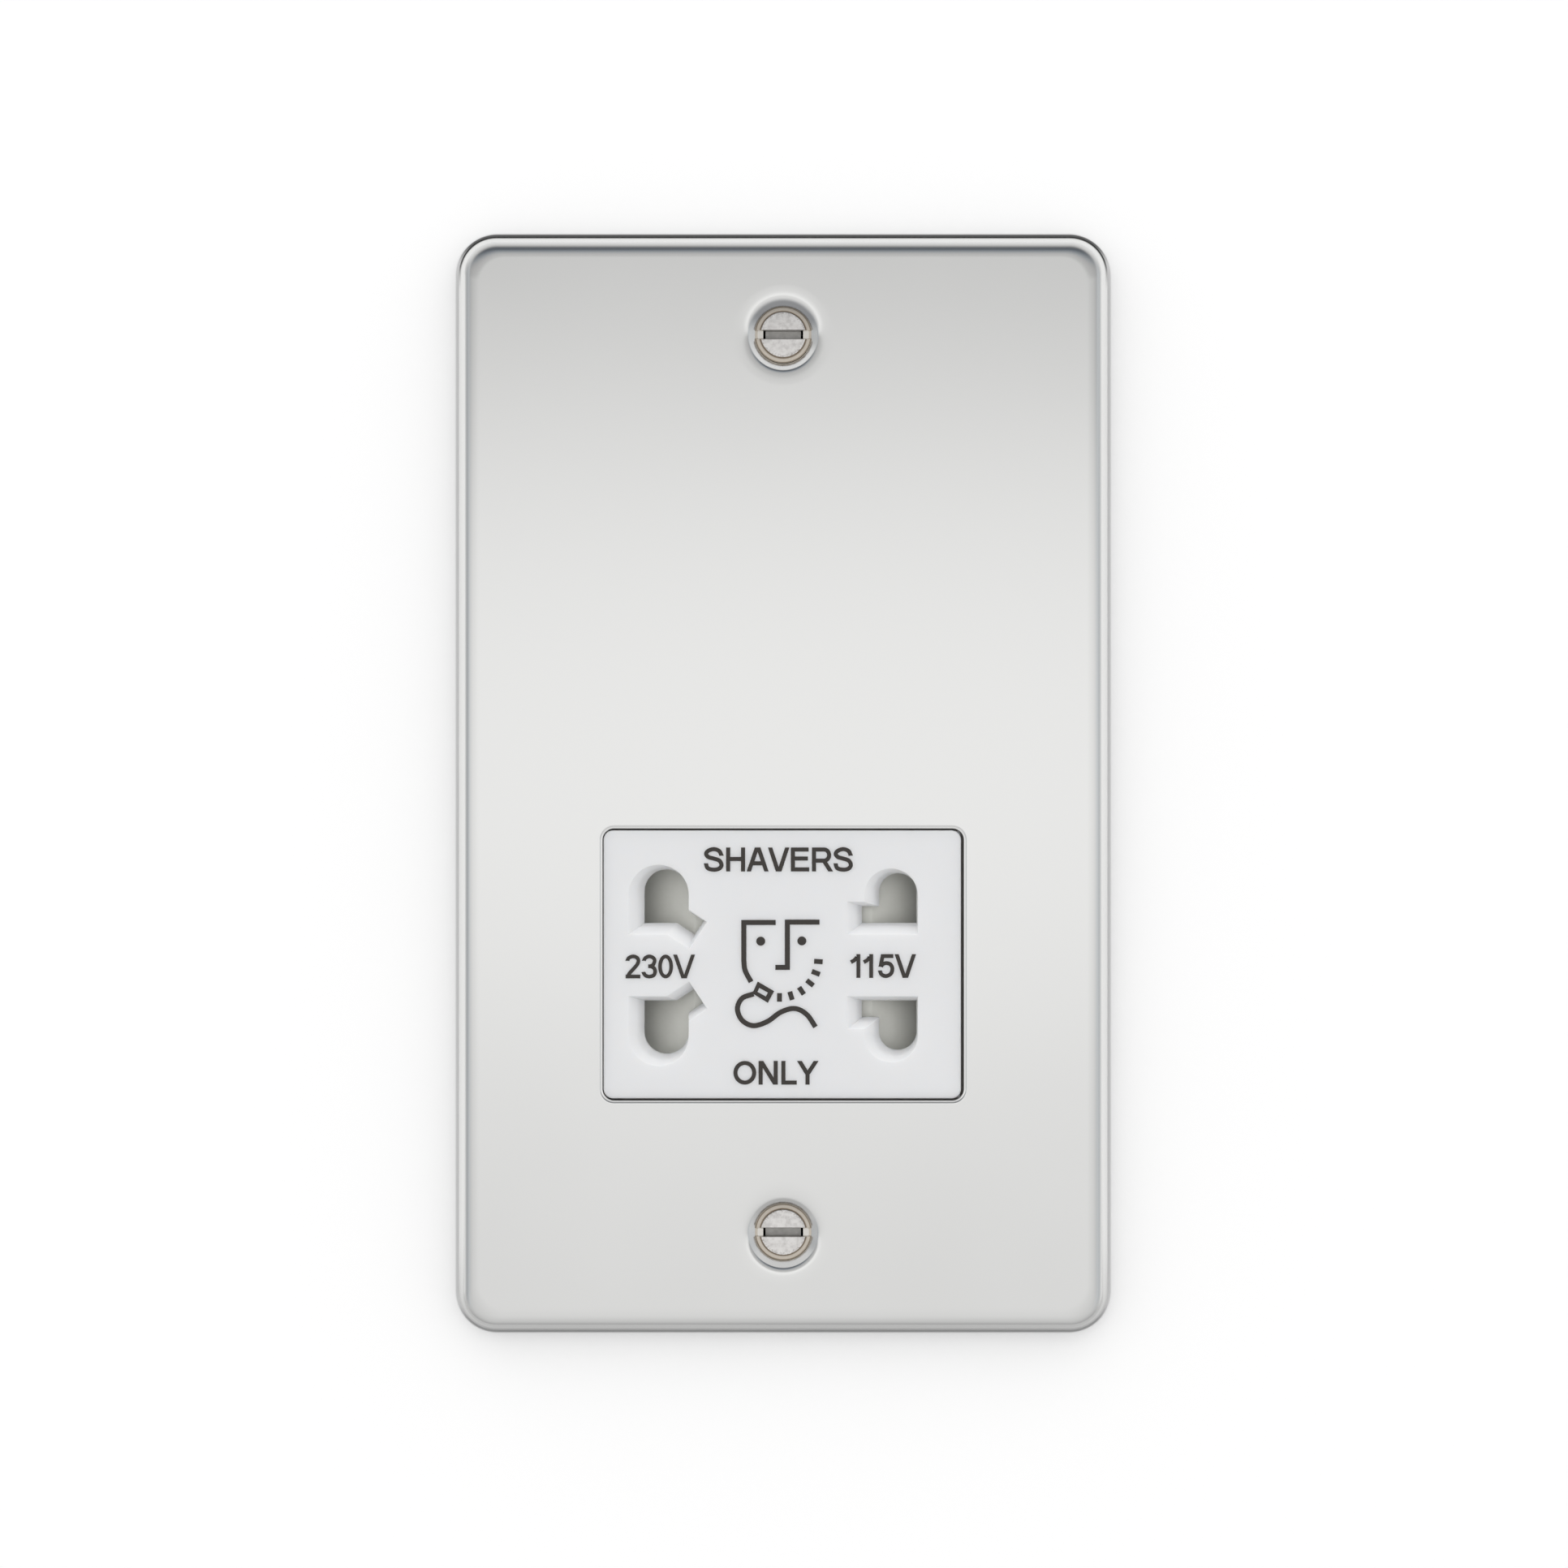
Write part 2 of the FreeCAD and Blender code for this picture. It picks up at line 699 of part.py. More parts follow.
def stepped_prism(grow, y_low, y_high):
    """Side view of the rear cover as a prism: low at the foot, deep behind the transformer.

    grow is how far the walls of this shape lie outside those of the cover's inside.
    """
    upper = upper_inside + grow
    lower = lower_inside + grow * wall / side_wall
    outline = [Vector(0, y_low, -y_high), Vector(0, lower, -y_high), Vector(0, lower, step_z - step_rise),
               Vector(0, upper, step_z), Vector(0, upper, y_high), Vector(0, y_low, y_high)]
    shaped = softened_outline(outline, [0, cover_edge, step_round, step_round, cover_edge, 0])
    width = 2 * (housing_half_width + past)
    solid = Part.Face(shaped).extrude(Vector(width, 0, 0))
    solid.translate(Vector(-width / 2, 0, 0))
    return solid


def make_rear_cover():
    """Stepped shell that closes the housing, with posts that hold the core."""
    outside = rounded_slab(housing_half_width, housing_half_height, housing_corner, split_y, upper_depth)
    outside = outside.common(stepped_prism(side_wall, split_y, housing_half_height))
    inside = rounded_slab(inner_half_width, inner_half_height, housing_corner - wall,
                          split_y - past, upper_inside)
    inside = inside.common(stepped_prism(0.0, split_y - past, inner_half_height))
    cover = add_ears(outside, split_y, split_y + ear_height).cut(inside)
    cover = add_core_posts(cover, core_y + core_stack / 2, upper_inside + bite)
    for x, z in ear_places():
        cover = cover.cut(rod(housing_screw_radius + fit_gap, x, z, split_y - past, split_y + ear_height + past))
    half = tail_width / 2 + fit_gap
    for x in terminal_xs[:2]:
        cover = cover.cut(box(x - half, x + half, lower_inside - past, lower_depth + past,
                              block_z - tail_thickness / 2 - fit_gap,
                              block_z + tail_thickness / 2 + fit_gap))
    return cover.removeSplitter()


def make_housing_screws():
    """Four screws through the ears of the rear cover into those of the carrier."""
    seat = split_y + ear_height
    screws = []
    for x, z in ear_places():
        head = rod(housing_screw_head_radius, x, z, seat, seat + housing_screw_head)
        shank = rod(housing_screw_radius - fit_gap / 2, x, z, seat - housing_screw_length, seat)
        top = seat + housing_screw_head
        for across, up in ((cross_arm, cross_half), (cross_half, cross_arm)):
            head = head.cut(box(x - across, x + across, top - cross_depth, top + past, z - up, z + up))
        screws.append(head.fuse(shank))
    return Part.Compound(screws)


def core_depths():
    """Front and back of the lamination stack."""
    return core_y - core_stack / 2, core_y + core_stack / 2


def make_core():
    """Stack of laminations with two windows beside the middle leg."""
    y0, y1 = core_depths()
    half = core_width / 2
    core = box(-half, half, y0, y1, core_z - core_height / 2, core_z + core_height / 2)
    outer_leg = leg_width / 2
    for side in (-1, 1):
        near = side * leg_width / 2
        far = side * (half - outer_leg)
        core = core.cut(box(min(near, far), max(near, far), y0 - past, y1 + past,
                            core_z - window_height / 2, core_z + window_height / 2))
    return core


def leg_box(margin, z0, z1, corner=0.0):
    """Box round the middle leg, larger than it by a margin."""
    half_x = leg_width / 2 + margin
    half_y = core_stack / 2 + margin
    block = box(-half_x, half_x, core_y - half_y, core_y + half_y, z0, z1)
    if corner > 0:
        uprights = [edge for edge in block.Edges if abs(edge.tangentAt(edge.FirstParameter).z) > 0.9]
        block = block.makeFillet(corner, uprights)
    return block


def bobbin_levels():
    """Bottom, both faces of the partition, and top of the bobbin's winding spaces."""
    low = core_z - window_height / 2 + bobbin_gap
    high = core_z + window_height / 2 - bobbin_gap
    return low, core_z - bobbin_wall / 2, core_z + bobbin_wall / 2, high


def make_bobbin():
    """Former with three flanges, so that the two windings lie apart."""
    low, under, over, high = bobbin_levels()
    tube_outside = bobbin_gap + bobbin_wall
    bobbin = leg_box(tube_outside, low, high, bobbin_wall / 2)
    flange_margin = tube_outside + winding_build + flange_lip
    for z0, z1 in ((low, low + bobbin_wall), (under, over), (high - bobbin_wall, high)):
        bobbin = bobbin.fuse(leg_box(flange_margin, z0, z1, winding_corner))
    return bobbin.cut(leg_box(bobbin_gap, low - past, high + past)).removeSplitter()


def make_winding(z0, z1):
    """Wound and taped coil in one space of the bobbin."""
    tube_outside = bobbin_gap + bobbin_wall
    coil = leg_box(tube_outside + winding_build, z0, z1, winding_corner)
    return coil.cut(leg_box(tube_outside, z0 - past, z1 + past, bobbin_wall / 2))


def make_thermal_cutout():
    """Flat sealed thermal switch against the underside of the core."""
    top = core_z - core_height / 2
    half = cutout_width / 2
    body = box(-half, half, core_y - cutout_depth / 2, core_y + cutout_depth / 2,
               top - cutout_height, top)
    lower = [edge for edge in body.Edges
             if abs(edge.CenterOfMass.z - (top - cutout_height)) < 1e-4]
    return body.makeFillet(cutout_edge, lower)


def make_terminal_block():
    """Moulding with three cells for the terminals, wire entries below and screw wells behind."""
    low = block_z - block_height / 2
    block = box(-block_width / 2, block_width / 2, block_front, block_back, low, low + block_height)
    rear = [edge for edge in block.Edges if abs(edge.CenterOfMass.y - block_back) < 1e-4]
    block = block.makeFillet(block_edge, rear)
    half_x = terminal_width / 2 + terminal_gap
    half_z = terminal_height / 2 + terminal_gap
    entry = wire_entry / 2
    for x in terminal_xs:
        block = block.cut(box(x - half_x, x + half_x, block_front - past, terminal_back + terminal_gap,
                              block_z - half_z, block_z + half_z))
        block = block.cut(rod(screw_well, x, block_z, terminal_back, block_back + past))
        block = block.cut(box(x - entry, x + entry, terminal_y - entry, terminal_y + entry,
                              low - past, block_z))
    half = strap_width / 2 + fit_gap
    block = block.cut(box(strap_x - half, strap_x + half, block_front - past,
                          block_front + strap_thickness + fit_gap, low - past, block_z))
    return block.removeSplitter()


def make_terminal(x, with_tail):
    """Brass pillar with a cross bore for the wire, and a tail that leads into the housing."""
    half_x = terminal_width / 2
    half_z = terminal_height / 2
    pillar = box(x - half_x, x + half_x, terminal_front, terminal_back, block_z - half_z, block_z + half_z)
    if with_tail:
        tail = box(x - tail_width / 2, x + tail_width / 2, lower_inside - terminal_tail,
                   terminal_front + bite, block_z - tail_thickness / 2, block_z + tail_thickness / 2)
        pillar = pillar.fuse(tail)
    bore = Part.makeCylinder(terminal_bore, terminal_height + 2 * past,
                             Vector(x, terminal_y, block_z - half_z - past), Vector(0, 0, 1))
    thread = rod(terminal_screw_radius + seat_gap, x, block_z, terminal_y, terminal_back + past)
    return pillar.cut(bore).cut(thread).removeSplitter()


def make_terminal_screws():
    """Three slotted clamp screws, one in each terminal, backed off the wire bore."""
    tip = terminal_y + terminal_bore + seat_gap
    head_y = terminal_back + terminal_screw_lift
    screws = []
    for x in terminal_xs:
        shank = rod(terminal_screw_radius, x, block_z, tip, head_y)
        head = rod(terminal_screw_head_radius, x, block_z, head_y, head_y + terminal_screw_head)
        slot = box(x - screw_well, x + screw_well, head_y + terminal_screw_head / 2,
                   head_y + terminal_screw_head + past, block_z - terminal_slot / 2, block_z + terminal_slot / 2)
        screws.append(shank.fuse(head).cut(slot))
    return Part.Compound(screws)


def make_earth_strap():
    """Brass strip from the inside of the plate, under the housing, to the earth terminal."""
    under = -housing_half_height - strap_thickness / 2 - fit_gap
    foot_y = sheet_back + strap_thickness / 2
    rise_y = block_front + strap_thickness / 2
    outline = [(foot_y, under - strap_foot), (foot_y, under), (rise_y, under), (rise_y, block_z)]
    path = [Vector(strap_x, y, z) for y, z in outline]
    return folded_strip(path, Vector(1, 0, 0), strap_thickness, strap_width, strap_bend)


def make_fixing_screw(z):
    """Slotted countersunk screw with a stepped rim, seated in the dimple of the plate.

    A neck thinner than the thread lies under the head, where the screw passes the plate.
    """
    ring_y = front + dimple_radius - fixing_ring - seat_gap
    disc_y = ring_y - fixing_bevel - fixing_step
    neck_y = ring_y + fixing_ring - fixing_neck
    thread_y = front + dimple_depth + running_gap
    tip_y = ring_y + fixing_length
    screw = turned([(0, disc_y), (fixing_disc, disc_y), (fixing_disc, disc_y + fixing_step),
                    (fixing_ring, ring_y), (fixing_neck, neck_y),
                    (fixing_neck, thread_y - fixing_shank + fixing_neck), (fixing_shank, thread_y),
                    (fixing_shank, tip_y), (0, tip_y)], 0.0, z)
    slot = box(-fixing_ring - past, fixing_ring + past, disc_y - past, disc_y + slot_depth,
               z - slot_cut / 2, z + slot_cut / 2)
    return screw.cut(slot)


def main():
    """Build every piece and write it out."""
    os.makedirs("parts", exist_ok=True)
    save(make_faceplate(), "faceplate")
    save(make_insert(), "insert")
    save(make_shutter(), "shutter")
    save(make_spring(-1), "shutter_spring_left")
    save(make_spring(1), "shutter_spring_right")
    save(make_socket_body(), "socket_body")
    names = ["contact_230v_upper", "contact_230v_lower", "contact_115v_upper", "contact_115v_lower"]
    for name, (x, z) in zip(names, contact_places()):
        save(make_contact(x, z), name)
    save(make_base_screws(), "base_screws")
    save(make_switch_leaf(), "switch_leaf")
    save(make_switch_contact(), "switch_contact")
    save(make_carrier(), "carrier")
    save(make_rear_cover(), "rear_cover")
    save(make_housing_screws(), "housing_screws")
    save(make_core(), "transformer_core")
    save(make_bobbin(), "bobbin")
    low, under, over, high = bobbin_levels()
    save(make_winding(over, high - bobbin_wall), "primary_winding")
    save(make_winding(low + bobbin_wall, under), "secondary_winding")
    save(make_thermal_cutout(), "thermal_cutout")
    save(make_terminal_block(), "terminal_block")
    for name, x in zip(["terminal_live", "terminal_neutral", "terminal_earth"], terminal_xs):
        save(make_terminal(x, name != "terminal_earth"), name)
    save(make_terminal_screws(), "terminal_screws")
    save(make_earth_strap(), "earth_strap")
    for name, z in zip(["fixing_screw_upper", "fixing_screw_lower"], fixing_heights()):
        save(make_fixing_screw(z), name)


main()
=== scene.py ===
# %% [markdown]
# A shaver socket for a bathroom wall: a satin metal plate, a white insert with D-shaped pin holes, two
# slotted screws, and behind the wall a housing with a transformer. The solids come from the packed
# frame and stay where they are. This script gives them their finish, and makes again, as smooth
# surfaces, the pieces whose look depends on their curvature.

# %% Load the frame
import json
import math

import bmesh
import bpy
import numpy as np
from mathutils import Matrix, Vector, geometry


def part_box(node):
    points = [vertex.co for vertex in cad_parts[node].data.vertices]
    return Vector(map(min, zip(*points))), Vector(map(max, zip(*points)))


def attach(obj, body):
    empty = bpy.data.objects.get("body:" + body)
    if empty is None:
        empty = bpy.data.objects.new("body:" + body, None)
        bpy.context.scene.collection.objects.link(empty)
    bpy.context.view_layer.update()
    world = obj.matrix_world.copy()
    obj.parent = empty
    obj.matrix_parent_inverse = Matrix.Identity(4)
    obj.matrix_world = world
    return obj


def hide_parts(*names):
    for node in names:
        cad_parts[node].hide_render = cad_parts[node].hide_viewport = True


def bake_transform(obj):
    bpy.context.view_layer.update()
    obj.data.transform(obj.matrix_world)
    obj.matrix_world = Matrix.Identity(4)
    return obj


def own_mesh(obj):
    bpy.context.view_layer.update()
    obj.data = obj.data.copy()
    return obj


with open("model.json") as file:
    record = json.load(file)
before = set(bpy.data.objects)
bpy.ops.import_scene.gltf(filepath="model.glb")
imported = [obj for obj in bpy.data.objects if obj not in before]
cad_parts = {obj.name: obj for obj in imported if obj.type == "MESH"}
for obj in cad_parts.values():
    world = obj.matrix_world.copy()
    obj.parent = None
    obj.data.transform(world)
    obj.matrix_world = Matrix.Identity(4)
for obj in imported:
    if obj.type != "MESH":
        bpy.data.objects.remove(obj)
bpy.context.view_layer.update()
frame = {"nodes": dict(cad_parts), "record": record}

MM = 0.001
print("loaded", len(frame["nodes"]), "nodes")


# %% [markdown]
# Every size is worked out in millimetres from the boxes of the solids, with the few radii that a box
# can't tell kept as named values. X runs to the right, Z up, and the front of the plate faces -Y, so
# "front" below is the depth of the plate's face.

# %% Sizes from the frame
def millimetres(node):
    """Lowest and highest corner of a solid, in millimetres."""
    low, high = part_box(node)
    return np.array(low) / MM, np.array(high) / MM


plate_low, plate_high = millimetres("faceplate")
screw_low, screw_high = millimetres("fixing_screw_upper")

# The sheet and its rim.
front = plate_low[1]
half_width = plate_high[0]
half_height = plate_high[2]
sheet = 1.2
sheet_back = front + sheet
plate_corner = 5.1
edge_round = 2.9

# The screws and the dimples that they sit in. The dish and the lean are in degrees.
fixing_z = (screw_low[2] + screw_high[2]) / 2
dimple_radius = 4.7
dimple_lip = 6.8
dimple_dish = 1.0
dimple_lean = 39.0
dimple_drop = 0.08
dimple_hole = 2.1
dimple_depth = 3.9

# The window and the insert that stands in it.
window_half_width = 24.25
window_half_height = 18.25
window_corner = 1.55
window_edge = 0.04
window_step = 0.09
window_step_from = 0.4
window_step_to = 0.2
insert_half_width = 24.0
insert_half_height = 18.0
insert_x = -0.13
insert_z = -24.3
print("plate", 2 * half_width, "x", 2 * half_height, "front at", front)


# %% [markdown]
# A surface here is a grid of points worked out with numpy. Neighbouring points are joined by four-sided
# faces, and pieces of surface that share an edge are welded. Where the surface turns sharply the edge
# is marked sharp, and everywhere else the shading is smooth.

# %% Turn grids of points into meshes
def grid(points, closed=False):
    """A grid of points with its four-sided faces.

    Corner numbers of face (i, j) are i*n + j, i*n + j + 1, (i + 1)*n + j + 1 and (i + 1)*n + j. In a
    closed grid the last column joins the first.
    """
    m, n = points.shape[:2]
    row = np.arange(m - 1)[:, None] * n
    here = np.arange(n if closed else n - 1)[None, :]
    after = (here + 1) % n
    corners = np.stack([row + here, row + after, row + n + after, row + n + here], axis=-1)
    return points.reshape(-1, 3), corners.reshape(-1, 4).tolist()


def new_object(name, data):
    """An object in the scene, at the origin."""
    made = bpy.data.objects.new(name, data)
    bpy.context.scene.collection.objects.link(made)
    return made


def shade_smoothly(work, sharp_angle):
    """Smooth shading, apart from open edges and edges that turn by more than an angle."""
    for face in work.faces:
        face.smooth = True
    for edge in work.edges:
        edge.smooth = len(edge.link_faces) == 2 and edge.calc_face_angle() < math.radians(sharp_angle)


def tidy(mesh, sharp_angle):
    """Weld equal points, point the faces outwards, shade the mesh, and count its open edges."""
    work = bmesh.new()
    work.from_mesh(mesh)
    bmesh.ops.remove_doubles(work, verts=work.verts, dist=0.001 * MM)
    bmesh.ops.dissolve_degenerate(work, edges=work.edges, dist=0.0005 * MM)
    bmesh.ops.recalc_face_normals(work, faces=work.faces)
    shade_smoothly(work, sharp_angle)
    open_edges = sum(len(edge.link_faces) != 2 for edge in work.edges)
    work.to_mesh(mesh)
    work.free()
    return open_edges


def place(piece, material, body, nodes):
    """Give a piece its finish, and let it ride on a body in place of its nodes."""
    piece.data.materials.clear()
    piece.data.materials.append(material)
    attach(piece, body)
    if nodes:
        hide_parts(*nodes)
    return piece


def surface(name, patches, sharp_angle=35.0):
    """One object from several (points, faces) patches, given in millimetres."""
    points = []
    faces = []
    count = 0
    for patch_points, patch_faces in patches:
        points.append(patch_points * MM)
        faces.extend([[corner + count for corner in face] for face in patch_faces])
        count += len(patch_points)
    mesh = bpy.data.meshes.new(name)
    mesh.from_pydata(np.concatenate(points).tolist(), [], faces)
    open_edges = tidy(mesh, sharp_angle)
    print(name, len(mesh.polygons), "faces,", open_edges, "open edges")
    return new_object(name, mesh)


# %% [markdown]
# Materials are written as sums. A wire is the output of a node, and adding or multiplying two wires
# makes the Math node that does it. All other nodes come from one method that takes the node's type,
# its settings and what its sockets get.

# %% Nodes written as sums
class Wire:
    """Output of a node that can be used in a sum."""

    def __init__(self, nodes, socket):
        self.nodes = nodes
        self.socket = socket

    def __add__(self, other):
        return self.nodes.maths("ADD", self, other)

    def __radd__(self, other):
        return self.nodes.maths("ADD", other, self)

    def __sub__(self, other):
        return self.nodes.maths("SUBTRACT", self, other)

    def __rsub__(self, other):
        return self.nodes.maths("SUBTRACT", other, self)

    def __mul__(self, other):
        return self.nodes.maths("MULTIPLY", self, other)

    def __rmul__(self, other):
        return self.nodes.maths("MULTIPLY", other, self)

    def __truediv__(self, other):
        return self.nodes.maths("DIVIDE", self, other)

    def __pow__(self, power):
        return self.nodes.maths("POWER", self, power)

    def __neg__(self):
        return self.nodes.maths("SUBTRACT", 0.0, self)

    def sine(self):
        return self.nodes.maths("SINE", self)

    def size(self):
        """The value without its sign."""
        return self.nodes.maths("ABSOLUTE", self)

    def at_least(self, other):
        return self.nodes.maths("MAXIMUM", self, other)

    def at_most(self, other):
        return self.nodes.maths("MINIMUM", self, other)

    def between(self, low, high):
        """0 below low, 1 above high, and smooth between them."""
        return self.nodes.node("ShaderNodeMapRange", {"interpolation_type": "SMOOTHSTEP"},
                               {"Value": self, "From Min": low, "From Max": high})


class Nodes:
    """A node tree that is filled one node at a time."""

    def __init__(self, tree):
        self.tree = tree
        tree.nodes.clear()

    def node(self, kind, settings=None, sockets=None, output=0):
        """New node: its settings are set first, then its sockets get values or wires."""
        made = self.tree.nodes.new(kind)
        for name, value in (settings or {}).items():
            if name == "stops":
                self.fill_ramp(made.color_ramp, value)
            else:
                setattr(made, name, value)
        for key, value in (sockets or {}).items():
            if isinstance(value, Wire):
                self.tree.links.new(value.socket, made.inputs[key])
            else:
                made.inputs[key].default_value = value
        return Wire(self, made.outputs[output]) if made.outputs else made

    def maths(self, operation, *values):
        return self.node("ShaderNodeMath", {"operation": operation}, dict(enumerate(values)))

    def fill_ramp(self, ramp, stops):
        """Set the stops of a colour ramp from (position, grey or colour) pairs."""
        while len(ramp.elements) < len(stops):
            ramp.elements.new(1.0)
        for element, (position, value) in zip(ramp.elements, stops):
            element.position = position
            element.color = (value, value, value, 1.0) if isinstance(value, float) else (*value, 1.0)

    def blend(self, share, first, second, how="MIX"):
        """Colour between two others. A Mix node's colours are its sockets 6 and 7 and its output 2."""
        pair = [value if isinstance(value, Wire) else (*value, 1.0) for value in (first, second)]
        return self.node("ShaderNodeMix", {"data_type": "RGBA", "blend_type": how},
                         {0: share, 6: pair[0], 7: pair[1]}, 2)

    def position(self):
        """Coordinates of the point, in metres, in the frame that all pieces share."""
        return self.node("ShaderNodeTexCoord", output="Object")

    def along(self, vector):
        """The three parts of a vector as wires."""
        parted = self.node("ShaderNodeSeparateXYZ", sockets={0: vector})
        return [Wire(self, socket) for socket in parted.socket.node.outputs]

    def spot(self):
        """The point's x, y and z, in millimetres."""
        return [part / MM for part in self.along(self.position())]

    def light_path(self, output):
        """What kind of ray looks at the point, or how often it has bounced."""
        return self.node("ShaderNodeLightPath", output=output)

    def grain(self, size, detail=2.0, vector=None):
        """Noise with features of a size in millimetres, about 0.5 on average."""
        return self.node("ShaderNodeTexNoise", sockets={
            "Vector": vector or self.position(), "Scale": 1.0 / (size * MM), "Detail": detail})

    def stretched(self, x, y, z):
        """Coordinates drawn out or squeezed along the axes."""
        return self.node("ShaderNodeMapping", sockets={0: self.position(), "Scale": (x, y, z)})

    def relief(self, height, depth, strength=1.0):
        """Normals of a surface that a height moves by up to a depth in millimetres."""
        return self.node("ShaderNodeBump", sockets={
            "Height": height, "Distance": depth * MM, "Strength": strength})


def finish(name, build):
    """A material whose Principled shader gets the sockets that build(nodes) returns."""
    material = bpy.data.materials.new(name)
    material.use_nodes = True
    nodes = Nodes(material.node_tree)
    shader = nodes.node("ShaderNodeBsdfPrincipled", sockets=build(nodes))
    nodes.node("ShaderNodeOutputMaterial", sockets={0: shader})
    return material


# %% [markdown]
# The plate is pressed steel with a satin chrome skin. Such a skin has a very fine, even grain that
# blurs what it reflects, and broad, faint changes of gloss where it was polished and handled. In the
# upper half of the upper dimple's cone the chrome is painted dark grey round the screw, a painted shade.

# %% Satin chrome
# Where the painted shade in the upper dimple starts and ends, and how dark it is.
painted_shade_from = 3.7
painted_shade_to = 4.4
painted_shade_strength = 0.68


def painted_dimple_shade(x, z):
    """Painted shade: 1 in the upper half of the upper dimple's cone, between two radii, and 0 elsewhere.
    """
    up = z - (fixing_z - dimple_drop)
    radius = (x ** 2.0 + up ** 2.0) ** 0.5
    on_cone = radius.between(painted_shade_from, painted_shade_from + 0.3) * (1.0 - radius.between(painted_shade_to, painted_shade_to + 0.7))
    return on_cone * up.between(0.3, 2.8)


def satin_chrome(nodes):
    fine = nodes.grain(0.16)
    broad = nodes.grain(32.0)
    x, _, z = nodes.spot()
    chrome = nodes.blend(broad, (0.775, 0.775, 0.765), (0.815, 0.815, 0.805))
    return {
        # Painted shade: the chrome turns dark grey in the upper half of the upper dimple's cone.
        "Base Color": nodes.blend(painted_dimple_shade(x, z) * painted_shade_strength, chrome, (0.22, 0.23, 0.25)),
        "Metallic": 1.0,
        "Roughness": 0.125 + 0.04 * broad + 0.02 * fine,
        "Normal": nodes.relief(fine, 0.003, 0.25),
    }


satin = finish("satin_chrome", satin_chrome)


# %% [markdown]
# The insert is a white thermoset moulding with a soft gloss and the faint waviness of a moulded skin.
# Its edge is painted dark where it goes down into the gap that the window leaves round it, a painted
# shade.

# %% White moulding
def white_moulding(nodes):
    broad = nodes.grain(14.0)
    skin = nodes.grain(1.3)
    x, y, z = nodes.spot()
    past_side = (x - insert_x).size() - insert_half_width
    past_top = (z - insert_z).size() - insert_half_height
    # Painted shade: the insert's edge turns dark brown where it goes down into the gap round it.
    painted_gap_shade = past_side.at_least(past_top).between(-0.15, 0.0) * (y - front).between(0.1, 0.5)
    clean = nodes.blend(broad, (0.86, 0.866, 0.878), (0.85, 0.854, 0.862))
    return {
        "Base Color": nodes.blend(painted_gap_shade, clean, (0.16, 0.145, 0.13)),
        "Roughness": 0.34 + 0.10 * broad,
        "Normal": nodes.relief(skin, 0.006, 0.35),
        "Subsurface Weight": 0.7,
        "Subsurface Radius": (1.0, 0.95, 0.9),
        "Subsurface Scale": 2.0 * MM,
    }


white = finish("white_moulding", white_moulding)


# %% [markdown]
# The shutter is a pale plastic slider, a little warmer than the insert. It lies in the shade of the
# holes, so it looks grey. Plugs rub over it, so it carries faint marks along its travel.

# %% Shutter plastic
def shutter_plastic(nodes):
    rubbed = nodes.grain(0.5, vector=nodes.stretched(0.12, 1.0, 1.0))
    return {
        "Base Color": nodes.blend(rubbed, (0.90, 0.90, 0.83), (0.94, 0.94, 0.88)),
        "Roughness": 0.42 + 0.15 * rubbed,
        "Normal": nodes.relief(rubbed, 0.004, 0.3),
    }


pale = finish("shutter_plastic", shutter_plastic)


# %% [markdown]
# The fixing screws are nickel plated. The turned head is a little rough, its rim has gone the colour
# of champagne, and brown tarnish sits at the ring's outer edge. Beside the disc the rim is painted
# darker brown, partly tarnish and partly painted shade, and deeper than the slot the head is painted
# black, a painted shade.

# %% Nickel with a tarnished rim and painted shade
disc_radius = 3.05
ring_radius = 3.8
head_y = screw_low[1]
slot_width = 1.2
slot_depth = 1.1


